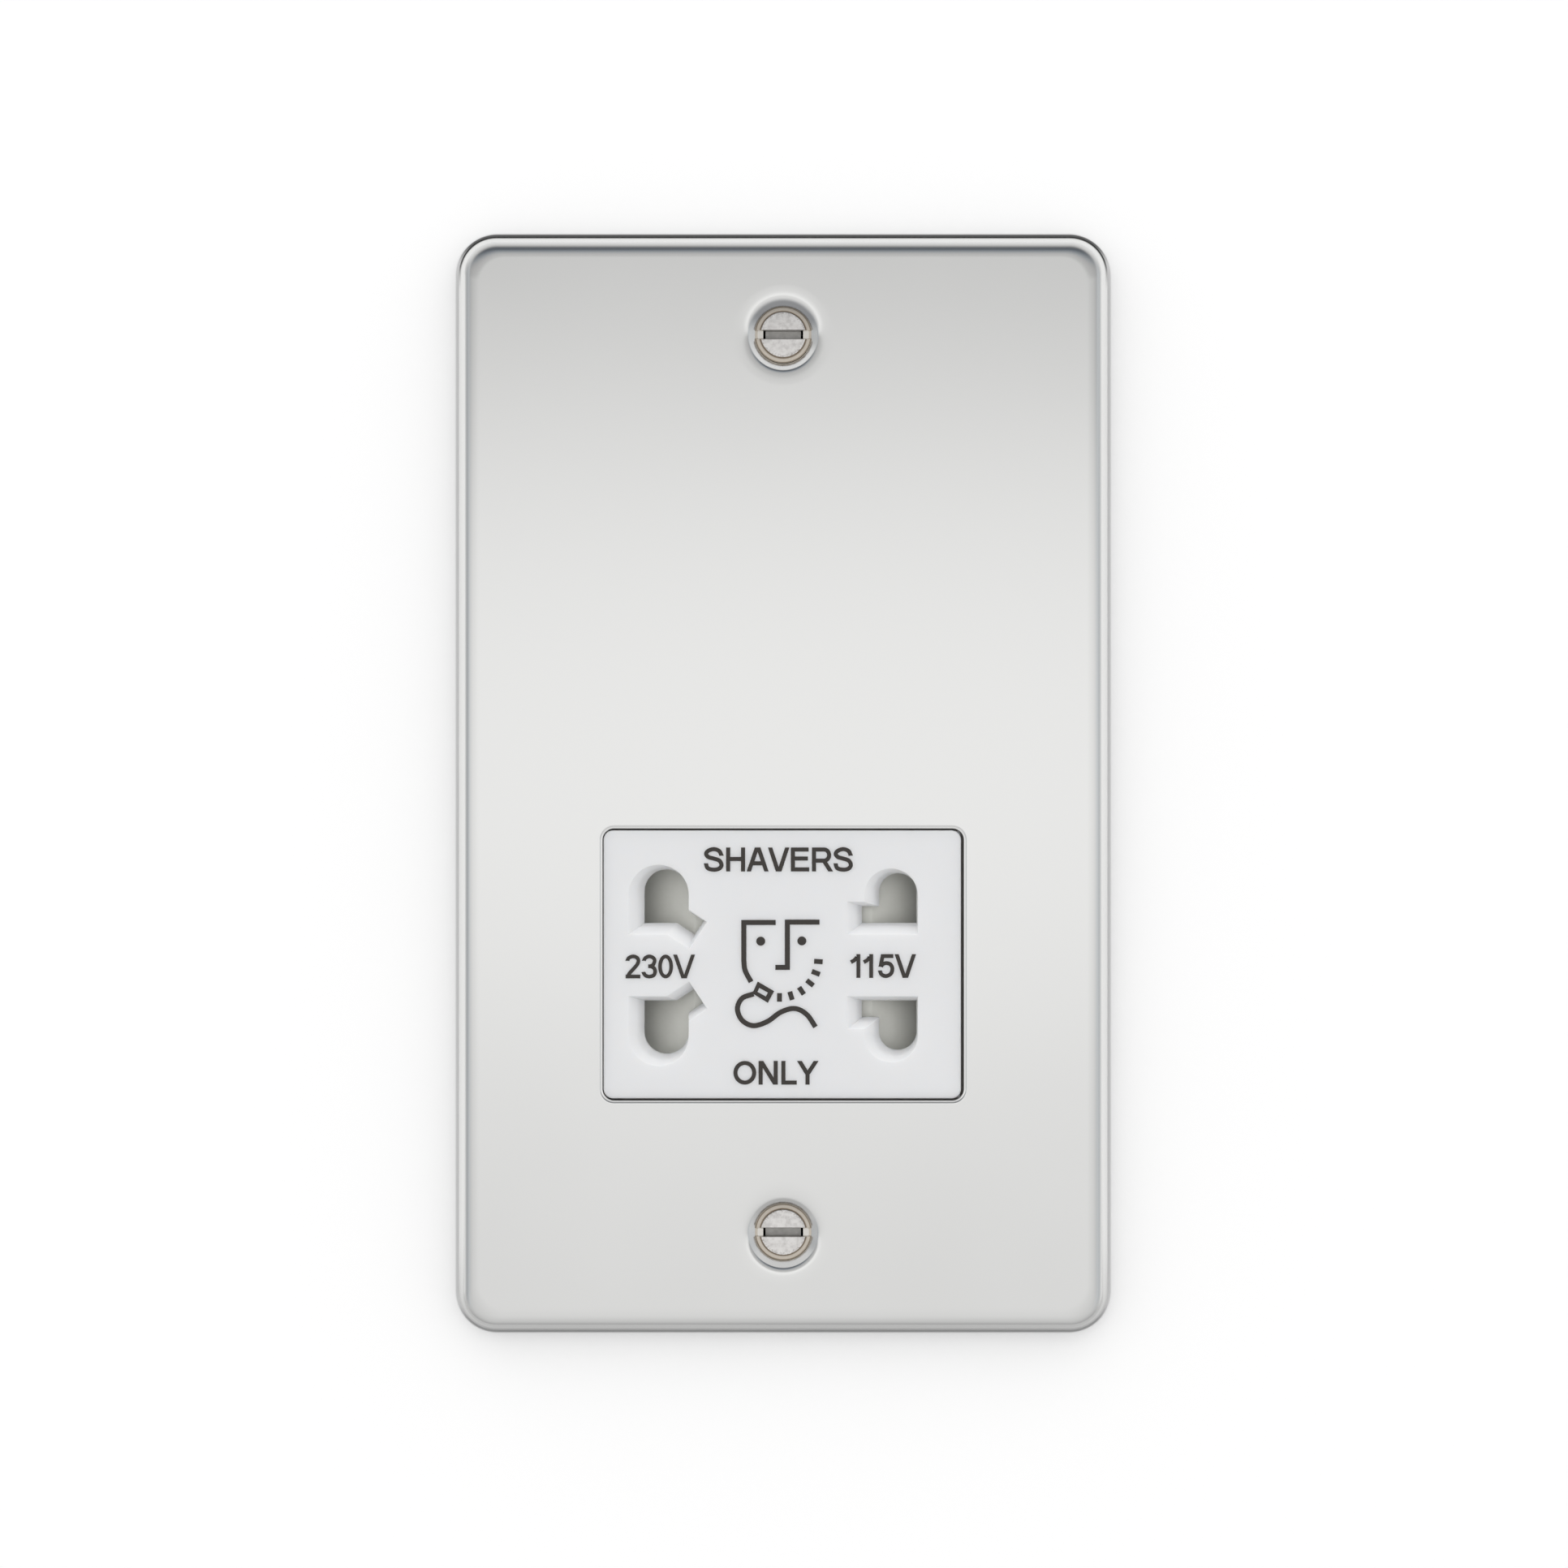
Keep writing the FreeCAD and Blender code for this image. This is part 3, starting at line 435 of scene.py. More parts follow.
def worn_nickel(nodes):
    """Nickel that is darker and browner in places, each picked out by a mask from 0 to 1.

    The masks depend on the radius, the depth below the head's face and the height from the screw's
    middle. They are the disc's rim, the corner beside it, the ring's outer edge, a band inside the disc's
    edge, the slot, the notch and the depth below the slot. The darker brown beside the disc is partly
    tarnish and partly painted shade, and the black below the slot's depth is painted shade.
    """
    x, y, z = nodes.spot()
    height = z.size() - fixing_z
    deep = y - head_y
    radius = (x ** 2.0 + height ** 2.0) ** 0.5
    rim = radius.between(disc_radius - 0.02, disc_radius + 0.06)
    corner = radius.between(disc_radius - 0.05, disc_radius + 0.03) * (
        1.0 - radius.between(disc_radius + 0.08, disc_radius + 0.2))
    outer = radius.between(ring_radius - 0.2, ring_radius - 0.1) * (1.0 - deep.between(0.335, 0.37))
    inner = 1.0 - radius.between(disc_radius + 0.1, disc_radius + 0.3)
    disc_edge_band = radius.between(disc_radius - 0.55, disc_radius)
    turned = 1.0 - deep.between(3.0, 3.5)
    sawn_out = 1.0 - height.size().between(slot_width / 2 - 0.02, slot_width / 2 + 0.02)
    slot = sawn_out * deep.between(0.5, 0.8)
    notched = radius.between(2.5, 2.6) * (1.0 - radius.between(ring_radius - 0.4, ring_radius - 0.3))
    notch = sawn_out * notched
    stain = nodes.grain(0.55, 4.0)
    scratch = nodes.grain(0.25, 6.0)
    sawn = nodes.grain(0.2, 4.0, nodes.stretched(0.4, 1.0, 1.0))
    plain = nodes.blend(stain.between(0.35, 0.75), (0.86, 0.84, 0.82), (0.70, 0.68, 0.66))
    # Darker in patches just inside the disc's edge.
    edged = nodes.blend(disc_edge_band * scratch.between(0.42, 0.72), plain, (0.40, 0.37, 0.34))
    # The rim is champagne, and darker brown beside the disc: partly tarnish, partly painted shade in the
    # corner.
    ringed = nodes.blend(rim * turned, edged, nodes.blend(inner, (0.66, 0.60, 0.52), (0.36, 0.31, 0.26)))
    # Brown in the corner beside the disc, partly tarnish and partly painted shade, and brown tarnish at
    # the ring's outer edge.
    browned = nodes.blend((corner + outer) * turned * (0.55 + 0.45 * stain), ringed, (0.24, 0.18, 0.12))
    bright = nodes.blend(notch, browned, (0.82, 0.79, 0.74))
    # The slot's walls and floor are a darker grey.
    slot_greyed = nodes.blend(slot * (0.7 + 0.3 * sawn), bright, (0.44, 0.43, 0.41))
    # Painted shade: black deeper than the slot, in the pits at its ends and under the head.
    painted_deep_shade = deep.between(slot_depth + 0.1, slot_depth + 0.3) * turned
    return {
        "Base Color": nodes.blend(painted_deep_shade, slot_greyed, (0.02, 0.015, 0.01)),
        "Metallic": 1.0,
        "Roughness": 0.28 + 0.22 * stain + 0.2 * slot,
        "Normal": nodes.relief(scratch, 0.03, 0.5),
    }


nickel = finish("worn_nickel", worn_nickel)


# %% [markdown]
# Behind the wall the mouldings are dark, spark-eroded plastic: a fine dull grain that hides scratches.
# The other inner pieces get their own plain finishes from two short recipes, one for mouldings and
# one for metals, each with its own colours, grain and gloss.

# %% Two recipes for the inner pieces
def moulding(name, colour, faded, rough, grain_size, depth):
    """Moulded plastic: a colour that fades in patches, and an eroded grain."""
    def build(nodes):
        patch = nodes.grain(11.0, 3.0)
        grain = nodes.grain(grain_size, 3.0)
        return {
            "Base Color": nodes.blend(patch.between(0.3, 0.7), colour, faded),
            "Roughness": rough + 0.12 * patch,
            "Normal": nodes.relief(grain, depth, 0.6),
        }
    return finish(name, build)


def metal(name, colour, dull, rough, grain_size, stretch):
    """Bare or plated metal: drawn or rolled streaks, and a duller colour in patches."""
    def build(nodes):
        patch = nodes.grain(4.0, 4.0)
        streak = nodes.grain(grain_size, 3.0, nodes.stretched(*stretch))
        return {
            "Base Color": nodes.blend(patch.between(0.35, 0.7), colour, dull),
            "Metallic": 1.0,
            "Roughness": rough + 0.15 * streak,
            "Normal": nodes.relief(streak, 0.006, 0.5),
        }
    return finish(name, build)


finishes = {
    "plate": satin,
    "insert": white,
    "shutter": pale,
    "fixing_screw": nickel,
    "housing": moulding("housing_plastic", (0.075, 0.078, 0.082), (0.095, 0.097, 0.10), 0.46, 0.22, 0.02),
    "socket_body": moulding("grey_moulding", (0.50, 0.50, 0.47), (0.55, 0.55, 0.52), 0.40, 0.3, 0.01),
    "bobbin": moulding("natural_moulding", (0.66, 0.60, 0.45), (0.72, 0.66, 0.52), 0.42, 0.4, 0.006),
    "cutout": moulding("sealed_case", (0.74, 0.72, 0.65), (0.78, 0.76, 0.70), 0.28, 0.5, 0.005),
    "terminal_block": moulding("pale_moulding", (0.66, 0.65, 0.60), (0.71, 0.70, 0.66), 0.38, 0.25, 0.012),
    "spring": metal("spring_wire", (0.60, 0.60, 0.60), (0.45, 0.44, 0.43), 0.22, 0.1, (1, 1, 1)),
    "contact": metal("bronze_strip", (0.80, 0.56, 0.34), (0.66, 0.44, 0.26), 0.24, 0.12, (1, 0.1, 1)),
    "brass": metal("rolled_brass", (0.83, 0.66, 0.34), (0.70, 0.54, 0.28), 0.24, 0.12, (1, 1, 0.1)),
    "small_screw": metal("zinc_plate", (0.70, 0.70, 0.67), (0.62, 0.58, 0.45), 0.26, 0.15, (1, 1, 1)),
}


# %% [markdown]
# The transformer has two finishes of its own. Its core is a stack of thin sheets dipped in varnish, so
# its edges show as fine lines across the stack. Each winding is copper wire laid side by side.

# %% Laminated core and copper winding
sheet_pitch = 0.5
wire_pitch = 0.42


def laminations(nodes):
    """Dark varnished steel: the lines between the sheets follow the sine of 2 pi * y / sheet pitch."""
    _, y, _ = nodes.spot()
    stack = (y * (2 * math.pi / sheet_pitch)).sine() * 0.5 + 0.5
    varnish = nodes.grain(3.0, 4.0)
    rust = nodes.grain(1.2, 5.0).between(0.62, 0.75)
    steel = nodes.blend(varnish, (0.045, 0.050, 0.062), (0.075, 0.080, 0.092))
    lined = nodes.blend(0.6 * (1.0 - stack), steel, (0.02, 0.02, 0.022))
    return {
        "Base Color": nodes.blend(rust * 0.5, lined, (0.16, 0.07, 0.03)),
        "Metallic": 0.35,
        "Roughness": 0.30 + 0.2 * varnish,
        "Normal": nodes.relief(stack, 0.05, 0.7),
    }


def copper_winding(nodes):
    """Lacquered copper: the turns of wire follow the sine of 2 pi * z / wire pitch."""
    _, _, z = nodes.spot()
    turns = (z * (2 * math.pi / wire_pitch)).sine() * 0.5 + 0.5
    lacquer = nodes.grain(2.5, 3.0)
    copper = nodes.blend(lacquer, (0.62, 0.24, 0.10), (0.74, 0.36, 0.16))
    return {
        "Base Color": nodes.blend(0.7 * (1.0 - turns), copper, (0.20, 0.06, 0.03)),
        "Metallic": 0.8,
        "Roughness": 0.26 + 0.14 * lacquer,
        "Normal": nodes.relief(turns, 0.12, 0.9),
    }


finishes["core"] = finish("varnished_laminations", laminations)
finishes["winding"] = finish("copper_winding", copper_winding)


# %% [markdown]
# The record says which slot each solid takes its finish from, so the solids are dressed in one go. The
# ones that show get a finer piece in their place further on.

# %% Dress every solid
slots = {part["node"]: part["material_slot"] for part in frame["record"]["subparts"]}
for node, slot in slots.items():
    shown = frame["nodes"][node]
    shown.data.materials.clear()
    shown.data.materials.append(finishes[slot])
print("dressed", len(slots), "solids")


# %% [markdown]
# The plate's look is all in its rim: a sheet that rolls over at the edge, so that it reflects the room
# from straight ahead round to the wall. The surface is one profile carried round the outline. The
# profile is the section of the sheet: flat, round, skirt, foot, and the same again inside, thinner by
# the sheet. Two dimples and a window are profiles carried round smaller outlines, and the flats
# between them are filled.

# %% Outlines, profiles and the surfaces between them
def rounded_rectangle(half_x, half_z, corner, x=0.0, z=0.0, steps=14):
    """Points and outward normals of a rounded rectangle, each (n, 2).

    A point is a corner's centre + radius * (cos a, sin a), with a from 0 to 90 degrees in each corner.
    """
    angle = np.linspace(0.0, math.pi / 2, steps)[None, :] + np.arange(4)[:, None] * math.pi / 2
    normal = np.stack([np.cos(angle), np.sin(angle)], axis=-1)
    side = np.array([[1, 1], [-1, 1], [-1, -1], [1, -1]])
    centre = side * np.array([half_x - corner, half_z - corner]) + np.array([x, z])
    return (centre[:, None, :] + corner * normal).reshape(-1, 2), normal.reshape(-1, 2)


def circle(z, steps=96):
    """A circle of no radius about (0, z): all points at the centre, with their outward normals."""
    angle = np.linspace(0.0, 2 * math.pi, steps, endpoint=False)
    normal = np.stack([np.cos(angle), np.sin(angle)], axis=-1)
    return np.zeros_like(normal) + np.array([0.0, z]), normal


def stepped(outline, step):
    """Outline moved outwards by a step, or by each step of a column of them."""
    points, normals = outline
    return points + np.asarray(step)[..., None] * normals


def carried(outline, profile):
    """A profile of (outward step, depth) pairs carried round an outline, as a closed surface.

    Point (i, j) = outline point j + step i * normal j, at depth i.
    """
    flat = stepped(outline, profile[:, :1])
    depth = np.broadcast_to(profile[:, 1][:, None], flat.shape[:2])
    return grid(np.stack([flat[..., 0], depth, flat[..., 1]], axis=-1), closed=True)


def filled(rims, depth):
    """Flat at one depth, bounded by the first rim and with the others as holes."""
    joined = np.concatenate(rims)
    triangles = geometry.tessellate_polygon([[Vector((*point, 0.0)) for point in rim] for rim in rims])
    points = np.stack([joined[:, 0], np.full(len(joined), depth), joined[:, 1]], axis=-1)
    return points, [list(corners) for corners in triangles]


def arc(step, depth, radius, start, end, count):
    """Part of a circle in a profile: centre + radius * (cos a, -sin a), a from start to end."""
    angle = np.radians(np.linspace(start, end, count))
    return np.stack([step + radius * np.cos(angle), depth - radius * np.sin(angle)], axis=-1)


# %% Faceplate
margin = 0.2
window_margin = 0.5
foot = 0.15
inner_corner = 3.4
cone_share = 1.4


def plate_rim():
    """Section of the sheet at the rim, from the flat of the face to the flat behind it."""
    middle = front + edge_round
    return np.concatenate([
        [(-edge_round - margin, front)],
        arc(-edge_round, middle, edge_round, 90, 0, 24),
        arc(-foot, plate_high[1] - foot, foot, 0, -90, 4),
        arc(-sheet + foot, plate_high[1] - foot, foot, -90, -180, 4),
        arc(-edge_round, middle, edge_round - sheet, 0, 90, 12),
        [(-edge_round - margin, sheet_back)],
    ])


def window_lip():
    """Section of the sheet at the window: flat, step down, narrow lip, cut wall, and flat behind.

    The step's depth is step * (3 * share ^ 2 - 2 * share ^ 3), so it leaves both flats smoothly.
    """
    share = np.linspace(0.0, 1.0, 11)
    out = window_step_from + (window_step_to - window_step_from) * share
    down = front + window_step * (3 * share ** 2 - 2 * share ** 3)
    lip = front + window_step
    return np.concatenate([
        [(window_margin, front)],
        np.stack([out, down], axis=-1),
        arc(window_edge, lip + window_edge, window_edge, 90, 180, 4),
        [(0.0, sheet_back), (window_margin, sheet_back)],
    ])


def dimple_section():
    """Section of the sheet in a dimple, as (radius, depth): flat, lip, cone, hole and the cone behind.

    The sheet first dishes by a degree or so, and then rolls over into the cone: the slope is
    dish * sqrt(share) + (lean - dish) * share ^ 6 up to the cone's mouth, and stays at lean up to the
    screw's rim. The depth is the running sum of the slope.
    """
    share = np.linspace(0.0, cone_share, 85)
    turned_over = np.minimum(share, 1.0)
    degrees = dimple_dish * turned_over ** 0.5 + (dimple_lean - dimple_dish) * turned_over ** 6
    slope = np.tan(np.radians(degrees))
    sunk = np.concatenate([[0.0], np.cumsum((slope[1:] + slope[:-1]) / 2)]) * share[1]
    reach = (dimple_lip - dimple_radius) / (share[-1] - sunk[-1])
    bottom = front + dimple_depth
    bulge = dimple_radius + sheet * math.sqrt(2.0)
    back = bulge - sheet
    return np.concatenate([
        [(dimple_lip + margin, front)],
        np.stack([dimple_lip - reach * share, front + reach * sunk], axis=-1),
        [(dimple_hole, front + dimple_radius - dimple_hole), (dimple_hole, bottom),
         (bulge - dimple_depth, bottom), (back, sheet_back), (back + margin, sheet_back)],
    ])


def make_faceplate():
    """Rim, window and dimples carried round their outlines, and the flats between them filled.

    The rim's inner outline has a corner of its own, so its normals are the steps between the two.
    """
    points, _ = rounded_rectangle(half_width, half_height, plate_corner)
    inner, _ = rounded_rectangle(half_width - edge_round, half_height - edge_round, inner_corner)
    plate = points, (points - inner) / edge_round
    window = rounded_rectangle(window_half_width, window_half_height, window_corner, 0.0, insert_z)
    screws = [circle(fixing_z - dimple_drop), circle(-fixing_z - dimple_drop)]
    section = dimple_section()
    edge = -edge_round - margin
    patches = [carried(plate, plate_rim()), carried(window, window_lip())]
    patches += [carried(screw, section) for screw in screws]
    for depth, radius in ((front, section[0, 0]), (sheet_back, section[-1, 0])):
        patches.append(filled([stepped(plate, edge), stepped(window, window_margin)]
                              + [stepped(screw, radius) for screw in screws], depth))
    return surface("satin_faceplate", patches, sharp_angle=50.0)


place(make_faceplate(), satin, "housing", ["faceplate"])


# %% [markdown]
# A fixing screw is a turned part, so its surface is a profile swept round an axis. Its thread is the
# same surface with the radius raised and lowered along a helix: the wave depends on the distance
# along the screw less the share of a turn, and fades out before the head. The slot is then cut with a
# bar that has slightly opened edges, as a saw leaves them.

# %% Fixing screws
tip_y = screw_high[1]
ring_step = 0.33
ring_y = head_y + 0.45
neck_radius = 1.5
thread_y = -0.3
thread_pitch = 0.6
thread_depth = 0.32
shank_radius = 1.75
neck_end = thread_y - 0.3
shank_start = thread_y - 0.25
thread_fade = 0.4
tip_chamfer = 0.45
smallest_radius = 0.6
notch_depth = 0.46
pit_depth = 1.8
pit_width = 0.3
slot_reach = 2.68
disc_ease = 0.1
ring_ease = 0.08
slot_round = 0.12
screw_sides = 72
rings_per_turn = 8


def turned_head():
    """(radius, depth) of the head from its middle to the neck, with small rounds on the edges."""
    return np.concatenate([
        [(0.0, head_y), (disc_radius - disc_ease, head_y)],
        arc(disc_radius - disc_ease, head_y + disc_ease, disc_ease, 80, 10, 3),
        [(disc_radius, head_y + ring_step - ring_ease), (disc_radius + ring_ease, head_y + ring_step)],
        arc(ring_radius - ring_ease, head_y + ring_step + ring_ease, ring_ease, 80, 0, 4),
        [(ring_radius, ring_y)],
        [(neck_radius, ring_y + ring_radius - neck_radius), (neck_radius, neck_end)],
    ])


def shank(angle, along):
    """Radius of the threaded shank: crest radius less a depth that follows a helix.

    depth = thread depth * fade * (0.5 - 0.5 * cos(turn)), turn = 2 pi * along / pitch - angle.
    """
    wave = 0.5 - 0.5 * np.cos(2 * math.pi * along / thread_pitch - angle)
    fade_out = np.clip((tip_y - along) / thread_pitch, 0.0, 1.0)
    fade_in = np.clip((along - thread_y) / thread_fade, 0.0, 1.0)
    plain = np.minimum(shank_radius, neck_radius + np.clip(along - shank_start, 0.0, None))
    chamfer = np.clip(tip_chamfer - (tip_y - along), 0.0, None)
    return np.maximum(plain - thread_depth * wave * fade_out * fade_in, smallest_radius) - chamfer


def turned_screw(z):
    """The whole screw as a closed grid: rings of points round the axis, one ring for each depth."""
    angle = np.linspace(0.0, 2 * math.pi, screw_sides, endpoint=False)[None, :]
    head = turned_head()
    rings = int(rings_per_turn * (tip_y - thread_y) / thread_pitch)
    along = np.linspace(shank_start, tip_y, rings)[:, None]
    all_round = np.ones_like(angle)
    radius = np.concatenate([head[:, :1] * all_round, shank(angle, along), 0.0 * all_round])
    depth = np.concatenate([head[:, 1:] * all_round, along * all_round, tip_y * all_round])
    points = np.stack([radius * np.cos(angle), depth, z + radius * np.sin(angle)], axis=-1)
    return grid(points, closed=True)


def slot_bar(z, near, far, depth):
    """A bar across the head, from near to far along X, whose section opens at the top.

    The upper half of the section is a list of (height above the slot's middle, depth below the face),
    and the lower half mirrors it.
    """
    half = slot_width / 2
    upper = np.array([(half - slot_round, depth), (half, depth - slot_round), (half, 0.07),
                      (half + 0.05, 0.0), (half + 0.55, -0.5)])
    section = np.concatenate([upper[::-1] * (-1, 1), upper])
    ends = np.array([near, far])[:, None]
    points = np.stack(np.broadcast_arrays(ends, head_y + section[:, 1], z + section[:, 0]), axis=-1)
    flat, sides = grid(points, closed=True)
    count = len(section)
    return flat, sides + [list(range(count)), list(range(2 * count - 1, count - 1, -1))]


def cut_away(piece, cutter):
    """Take a cutter out of a piece, and drop the cutter."""
    knife = piece.modifiers.new("slot", "BOOLEAN")
    knife.object = cutter
    knife.solver = "EXACT"
    shaped = piece.evaluated_get(bpy.context.evaluated_depsgraph_get())
    mesh = bpy.data.meshes.new_from_object(shaped)
    piece.modifiers.clear()
    piece.data = mesh
    bpy.data.objects.remove(cutter)


def make_fixing_screw(name, z):
    """A turned screw with a notch sawn right across, a slot in its disc, and a pit at each slot end."""
    screw = surface(name, [turned_screw(z)], sharp_angle=30.0)
    through = ring_radius + 1.0
    for near, far, depth in ((-through, through, notch_depth), (-slot_reach, slot_reach, slot_depth),
                             (-slot_reach, pit_width - slot_reach, pit_depth),
                             (slot_reach - pit_width, slot_reach, pit_depth)):
        cut_away(screw, surface("slot_bar", [slot_bar(z, near, far, depth)]))
    tidy(screw.data, 30.0)
    print(name, len(screw.data.polygons), "faces with its slot")
    return screw


for name, z in (("fixing_screw_upper", fixing_z), ("fixing_screw_lower", -fixing_z)):
    place(make_fixing_screw("turned_" + name, z), nickel, "housing", [name])


# %% [markdown]
# A moulding never has a knife edge: the tool leaves a small round on each one, which catches the light
# as a thin line. The solids have plain edges, so each moulding that shows gets a welded copy whose
# edges a Bevel modifier eases.

# %% Mouldings with eased edges
bend = 30.0


def welded_copy(node, name):
    """Welded copy of a solid, with its flats joined and sharp where it bends."""
    mesh = frame["nodes"][node].data.copy()
    work = bmesh.new()
    work.from_mesh(mesh)
    bmesh.ops.remove_doubles(work, verts=work.verts, dist=0.0005 * MM)
    bmesh.ops.dissolve_limit(work, angle_limit=math.radians(0.3), verts=work.verts, edges=work.edges)
    shade_smoothly(work, bend)
    work.to_mesh(mesh)
    work.free()
    print(name, len(mesh.polygons), "faces")
    return new_object(name, mesh)


def eased(piece, width):
    """The piece with its edges rounded by a width in millimetres."""
    bevel = piece.modifiers.new("eased edges", "BEVEL")
    bevel.width = width * MM
    bevel.segments = 2
    bevel.limit_method = "ANGLE"
    bevel.angle_limit = math.radians(bend)
    bevel.harden_normals = True
    return piece


for node, width in (("insert", 0.1), ("shutter", 0.15), ("carrier", 0.2), ("rear_cover", 0.2),
                    ("terminal_block", 0.2)):
    piece = eased(welded_copy(node, "moulded_" + node), width)
    body = "shutter" if node == "shutter" else "housing"
    place(piece, finishes[slots[node]], body, [node])


# %% [markdown]
# Each spring of the shutter is a coil of round wire. It reaches from a post that stands still to the
# end of its pocket in the shutter. The switch leaf has a bump that the sliding shutter presses down,
# and it gets a welded copy of its own.

# %% Springs and switch leaf
spring_turns = 6
spring_wire_radius = 0.225
points_per_turn = 24
wire_sides = 10


def coil(low, high):
    """Round wire along a helix that fills a box, closed at both ends.

    Its middle at the angle p is (x, radius * cos p, radius * sin p), and x grows evenly with p. The wire
    is a ring of points: wire radius * (cos a * outwards + sin a * sideways), with a once round.
    """
    centre = (low + high) / 2
    radius = (high[2] - low[2]) / 2 - spring_wire_radius
    turned = np.linspace(0.0, 2 * math.pi * spring_turns, spring_turns * points_per_turn + 1)
    x = np.linspace(low[0] + spring_wire_radius, high[0] - spring_wire_radius, len(turned))
    outwards = np.stack([np.zeros_like(turned), np.cos(turned), np.sin(turned)], axis=1)
    path = np.stack([x, centre[1] + radius * outwards[:, 1], centre[2] + radius * outwards[:, 2]], axis=1)
    tangent = np.gradient(path, axis=0)
    tangent /= np.linalg.norm(tangent, axis=1, keepdims=True)
    sideways = np.cross(tangent, outwards)
    angle = np.linspace(0.0, 2 * math.pi, wire_sides, endpoint=False)[None, :, None]
    ring = np.cos(angle) * outwards[:, None, :] + np.sin(angle) * sideways[:, None, :]
    middle = path[:, None, :]
    closed = np.zeros((1, wire_sides, 3))
    rings = [middle[:1] + closed, middle + spring_wire_radius * ring, middle[-1:] + closed]
    return grid(np.concatenate(rings), closed=True)


for name, post, pocket in (("shutter_spring_left", 1, 0), ("shutter_spring_right", 0, 1)):
    corners = millimetres(name)
    spring = surface("coiled_" + name, [coil(*corners)])
    spring.data.materials.append(finishes["spring"])
    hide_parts(name)
    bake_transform(spring)

leaf = welded_copy("switch_leaf", "sprung_switch_leaf")
place(leaf, finishes["contact"], "housing", ["switch_leaf"])
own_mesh(leaf)


# %% [markdown]
# The marks on the insert are printed: plain words and numbers that say what the socket is for, and the
# common sign for a shaver. The ink is a dark warm grey. It stands a few hundredths of a millimetre
# proud, so each mark is a thin solid laid on the face. Everything is drawn by one pen: a stroke is the
# pen's width carried along a path.

# %% Ink
def printed_ink(nodes):
    cover = nodes.grain(0.35, 3.0)
    return {
        "Base Color": nodes.blend(cover, (0.030, 0.025, 0.021), (0.045, 0.038, 0.032)),
        "Roughness": 0.42 + 0.15 * cover,
        "Normal": nodes.relief(cover, 0.004, 0.3),
    }


ink = finish("printed_ink", printed_ink)
ink_height = 0.02
stroke_rise = 0.002


# %% Strokes of a pen
def smooth_path(points, count=8):
    """A smooth curve through given points: each span is a Catmull-Rom cubic in its own share t."""
    points = np.array(points)
    ends = np.concatenate([[2 * points[0] - points[1]], points, [2 * points[-1] - points[-2]]])
    t = np.linspace(0.0, 1.0, count, endpoint=False)[None, :, None]
    a, b, c, d = (ends[i:len(ends) - 3 + i][:, None, :] for i in range(4))
    spans = 0.5 * (2 * b + (c - a) * t + (2 * a - 5 * b + 4 * c - d) * t ** 2
                   + (3 * b - a - 3 * c + d) * t ** 3)
    return np.concatenate([spans.reshape(-1, 2), points[-1:]])


def on_face(flat):
    """Points (x, z) laid on the front of the insert."""
    return np.stack([flat[..., 0], np.full(flat.shape[:-1], front), flat[..., 1]], axis=-1)


def ribbon(path, width, level=False):
    """A path widened by half the pen's width to each side, mitred at its corners.

    Side = (turned step before + turned step after) / (1 + their cosine). With level ends, a slanting
    stroke is cut off along the line of writing, so there side = horizontal / rise.
    """
    path = np.array(path, dtype=float)
    step = np.diff(path, axis=0)
    step /= np.linalg.norm(step, axis=1)[:, None]
    coming = np.concatenate([step[:1], step])
    going = np.concatenate([step, step[-1:]])
    side = np.stack([-coming[:, 1] - going[:, 1], coming[:, 0] + going[:, 0]], axis=-1)
    side /= (1.0 + np.sum(coming * going, axis=1))[:, None]
    if level:
        rise = step[[0, -1], 1]
        steep = np.abs(rise) > 0.75
        flat = np.stack([-1.0 / np.where(steep, rise, 1.0), 0.0 * rise], axis=-1)
        side[[0, -1]] = np.where(steep[:, None], flat, side[[0, -1]])
    return grid(on_face(np.stack([path + side * width / 2, path - side * width / 2], axis=1)))


def oval(x, z, half_x, half_z, width=0.0):
    """A filled oval, or with a width the ring of a pen: centre + half sizes * (cos a, sin a)."""
    angle = np.linspace(0.0, 2 * math.pi, 48, endpoint=False)
    turn = np.stack([np.cos(angle), np.sin(angle)], axis=-1)
    centre = np.array([x, z])
    outer = centre + np.array([half_x, half_z]) * turn
    if not width:
        return on_face(outer), [list(range(len(outer)))]
    inner = centre + np.array([half_x - width, half_z - width]) * turn
    return grid(on_face(np.stack([outer, inner])), closed=True)


def printed(name, patches):
    """Flat patches of ink given their height, towards the viewer.

    Where two strokes cross their tops must not be level, so each starts a little higher than the last.
    """
    lifted = []
    for k, (points, faces) in enumerate(patches):
        lifted.append((points - np.array([0.0, stroke_rise * (k % 4), 0.0]), faces))
    made = surface(name, lifted)
    work = bmesh.new()
    work.from_mesh(made.data)
    raised = bmesh.ops.extrude_face_region(work, geom=work.faces[:])
    moved = [item for item in raised["geom"] if isinstance(item, bmesh.types.BMVert)]
    bmesh.ops.translate(work, verts=moved, vec=(0.0, -ink_height * MM, 0.0))
    bmesh.ops.recalc_face_normals(work, faces=work.faces)
    print(name, sum(not edge.is_manifold for edge in work.edges), "open edges once raised")
    work.to_mesh(made.data)
    work.free()
    return place(made, ink, "housing", [])


# %% [markdown]
# The letters are plain block capitals, drawn by the same pen. Each letter is a few strokes in a box of
# its own, in shares of the box's width and height, so a word is a row of boxes. Straight strokes are
# given by their ends, and round ones by a few points that a smooth curve goes through.

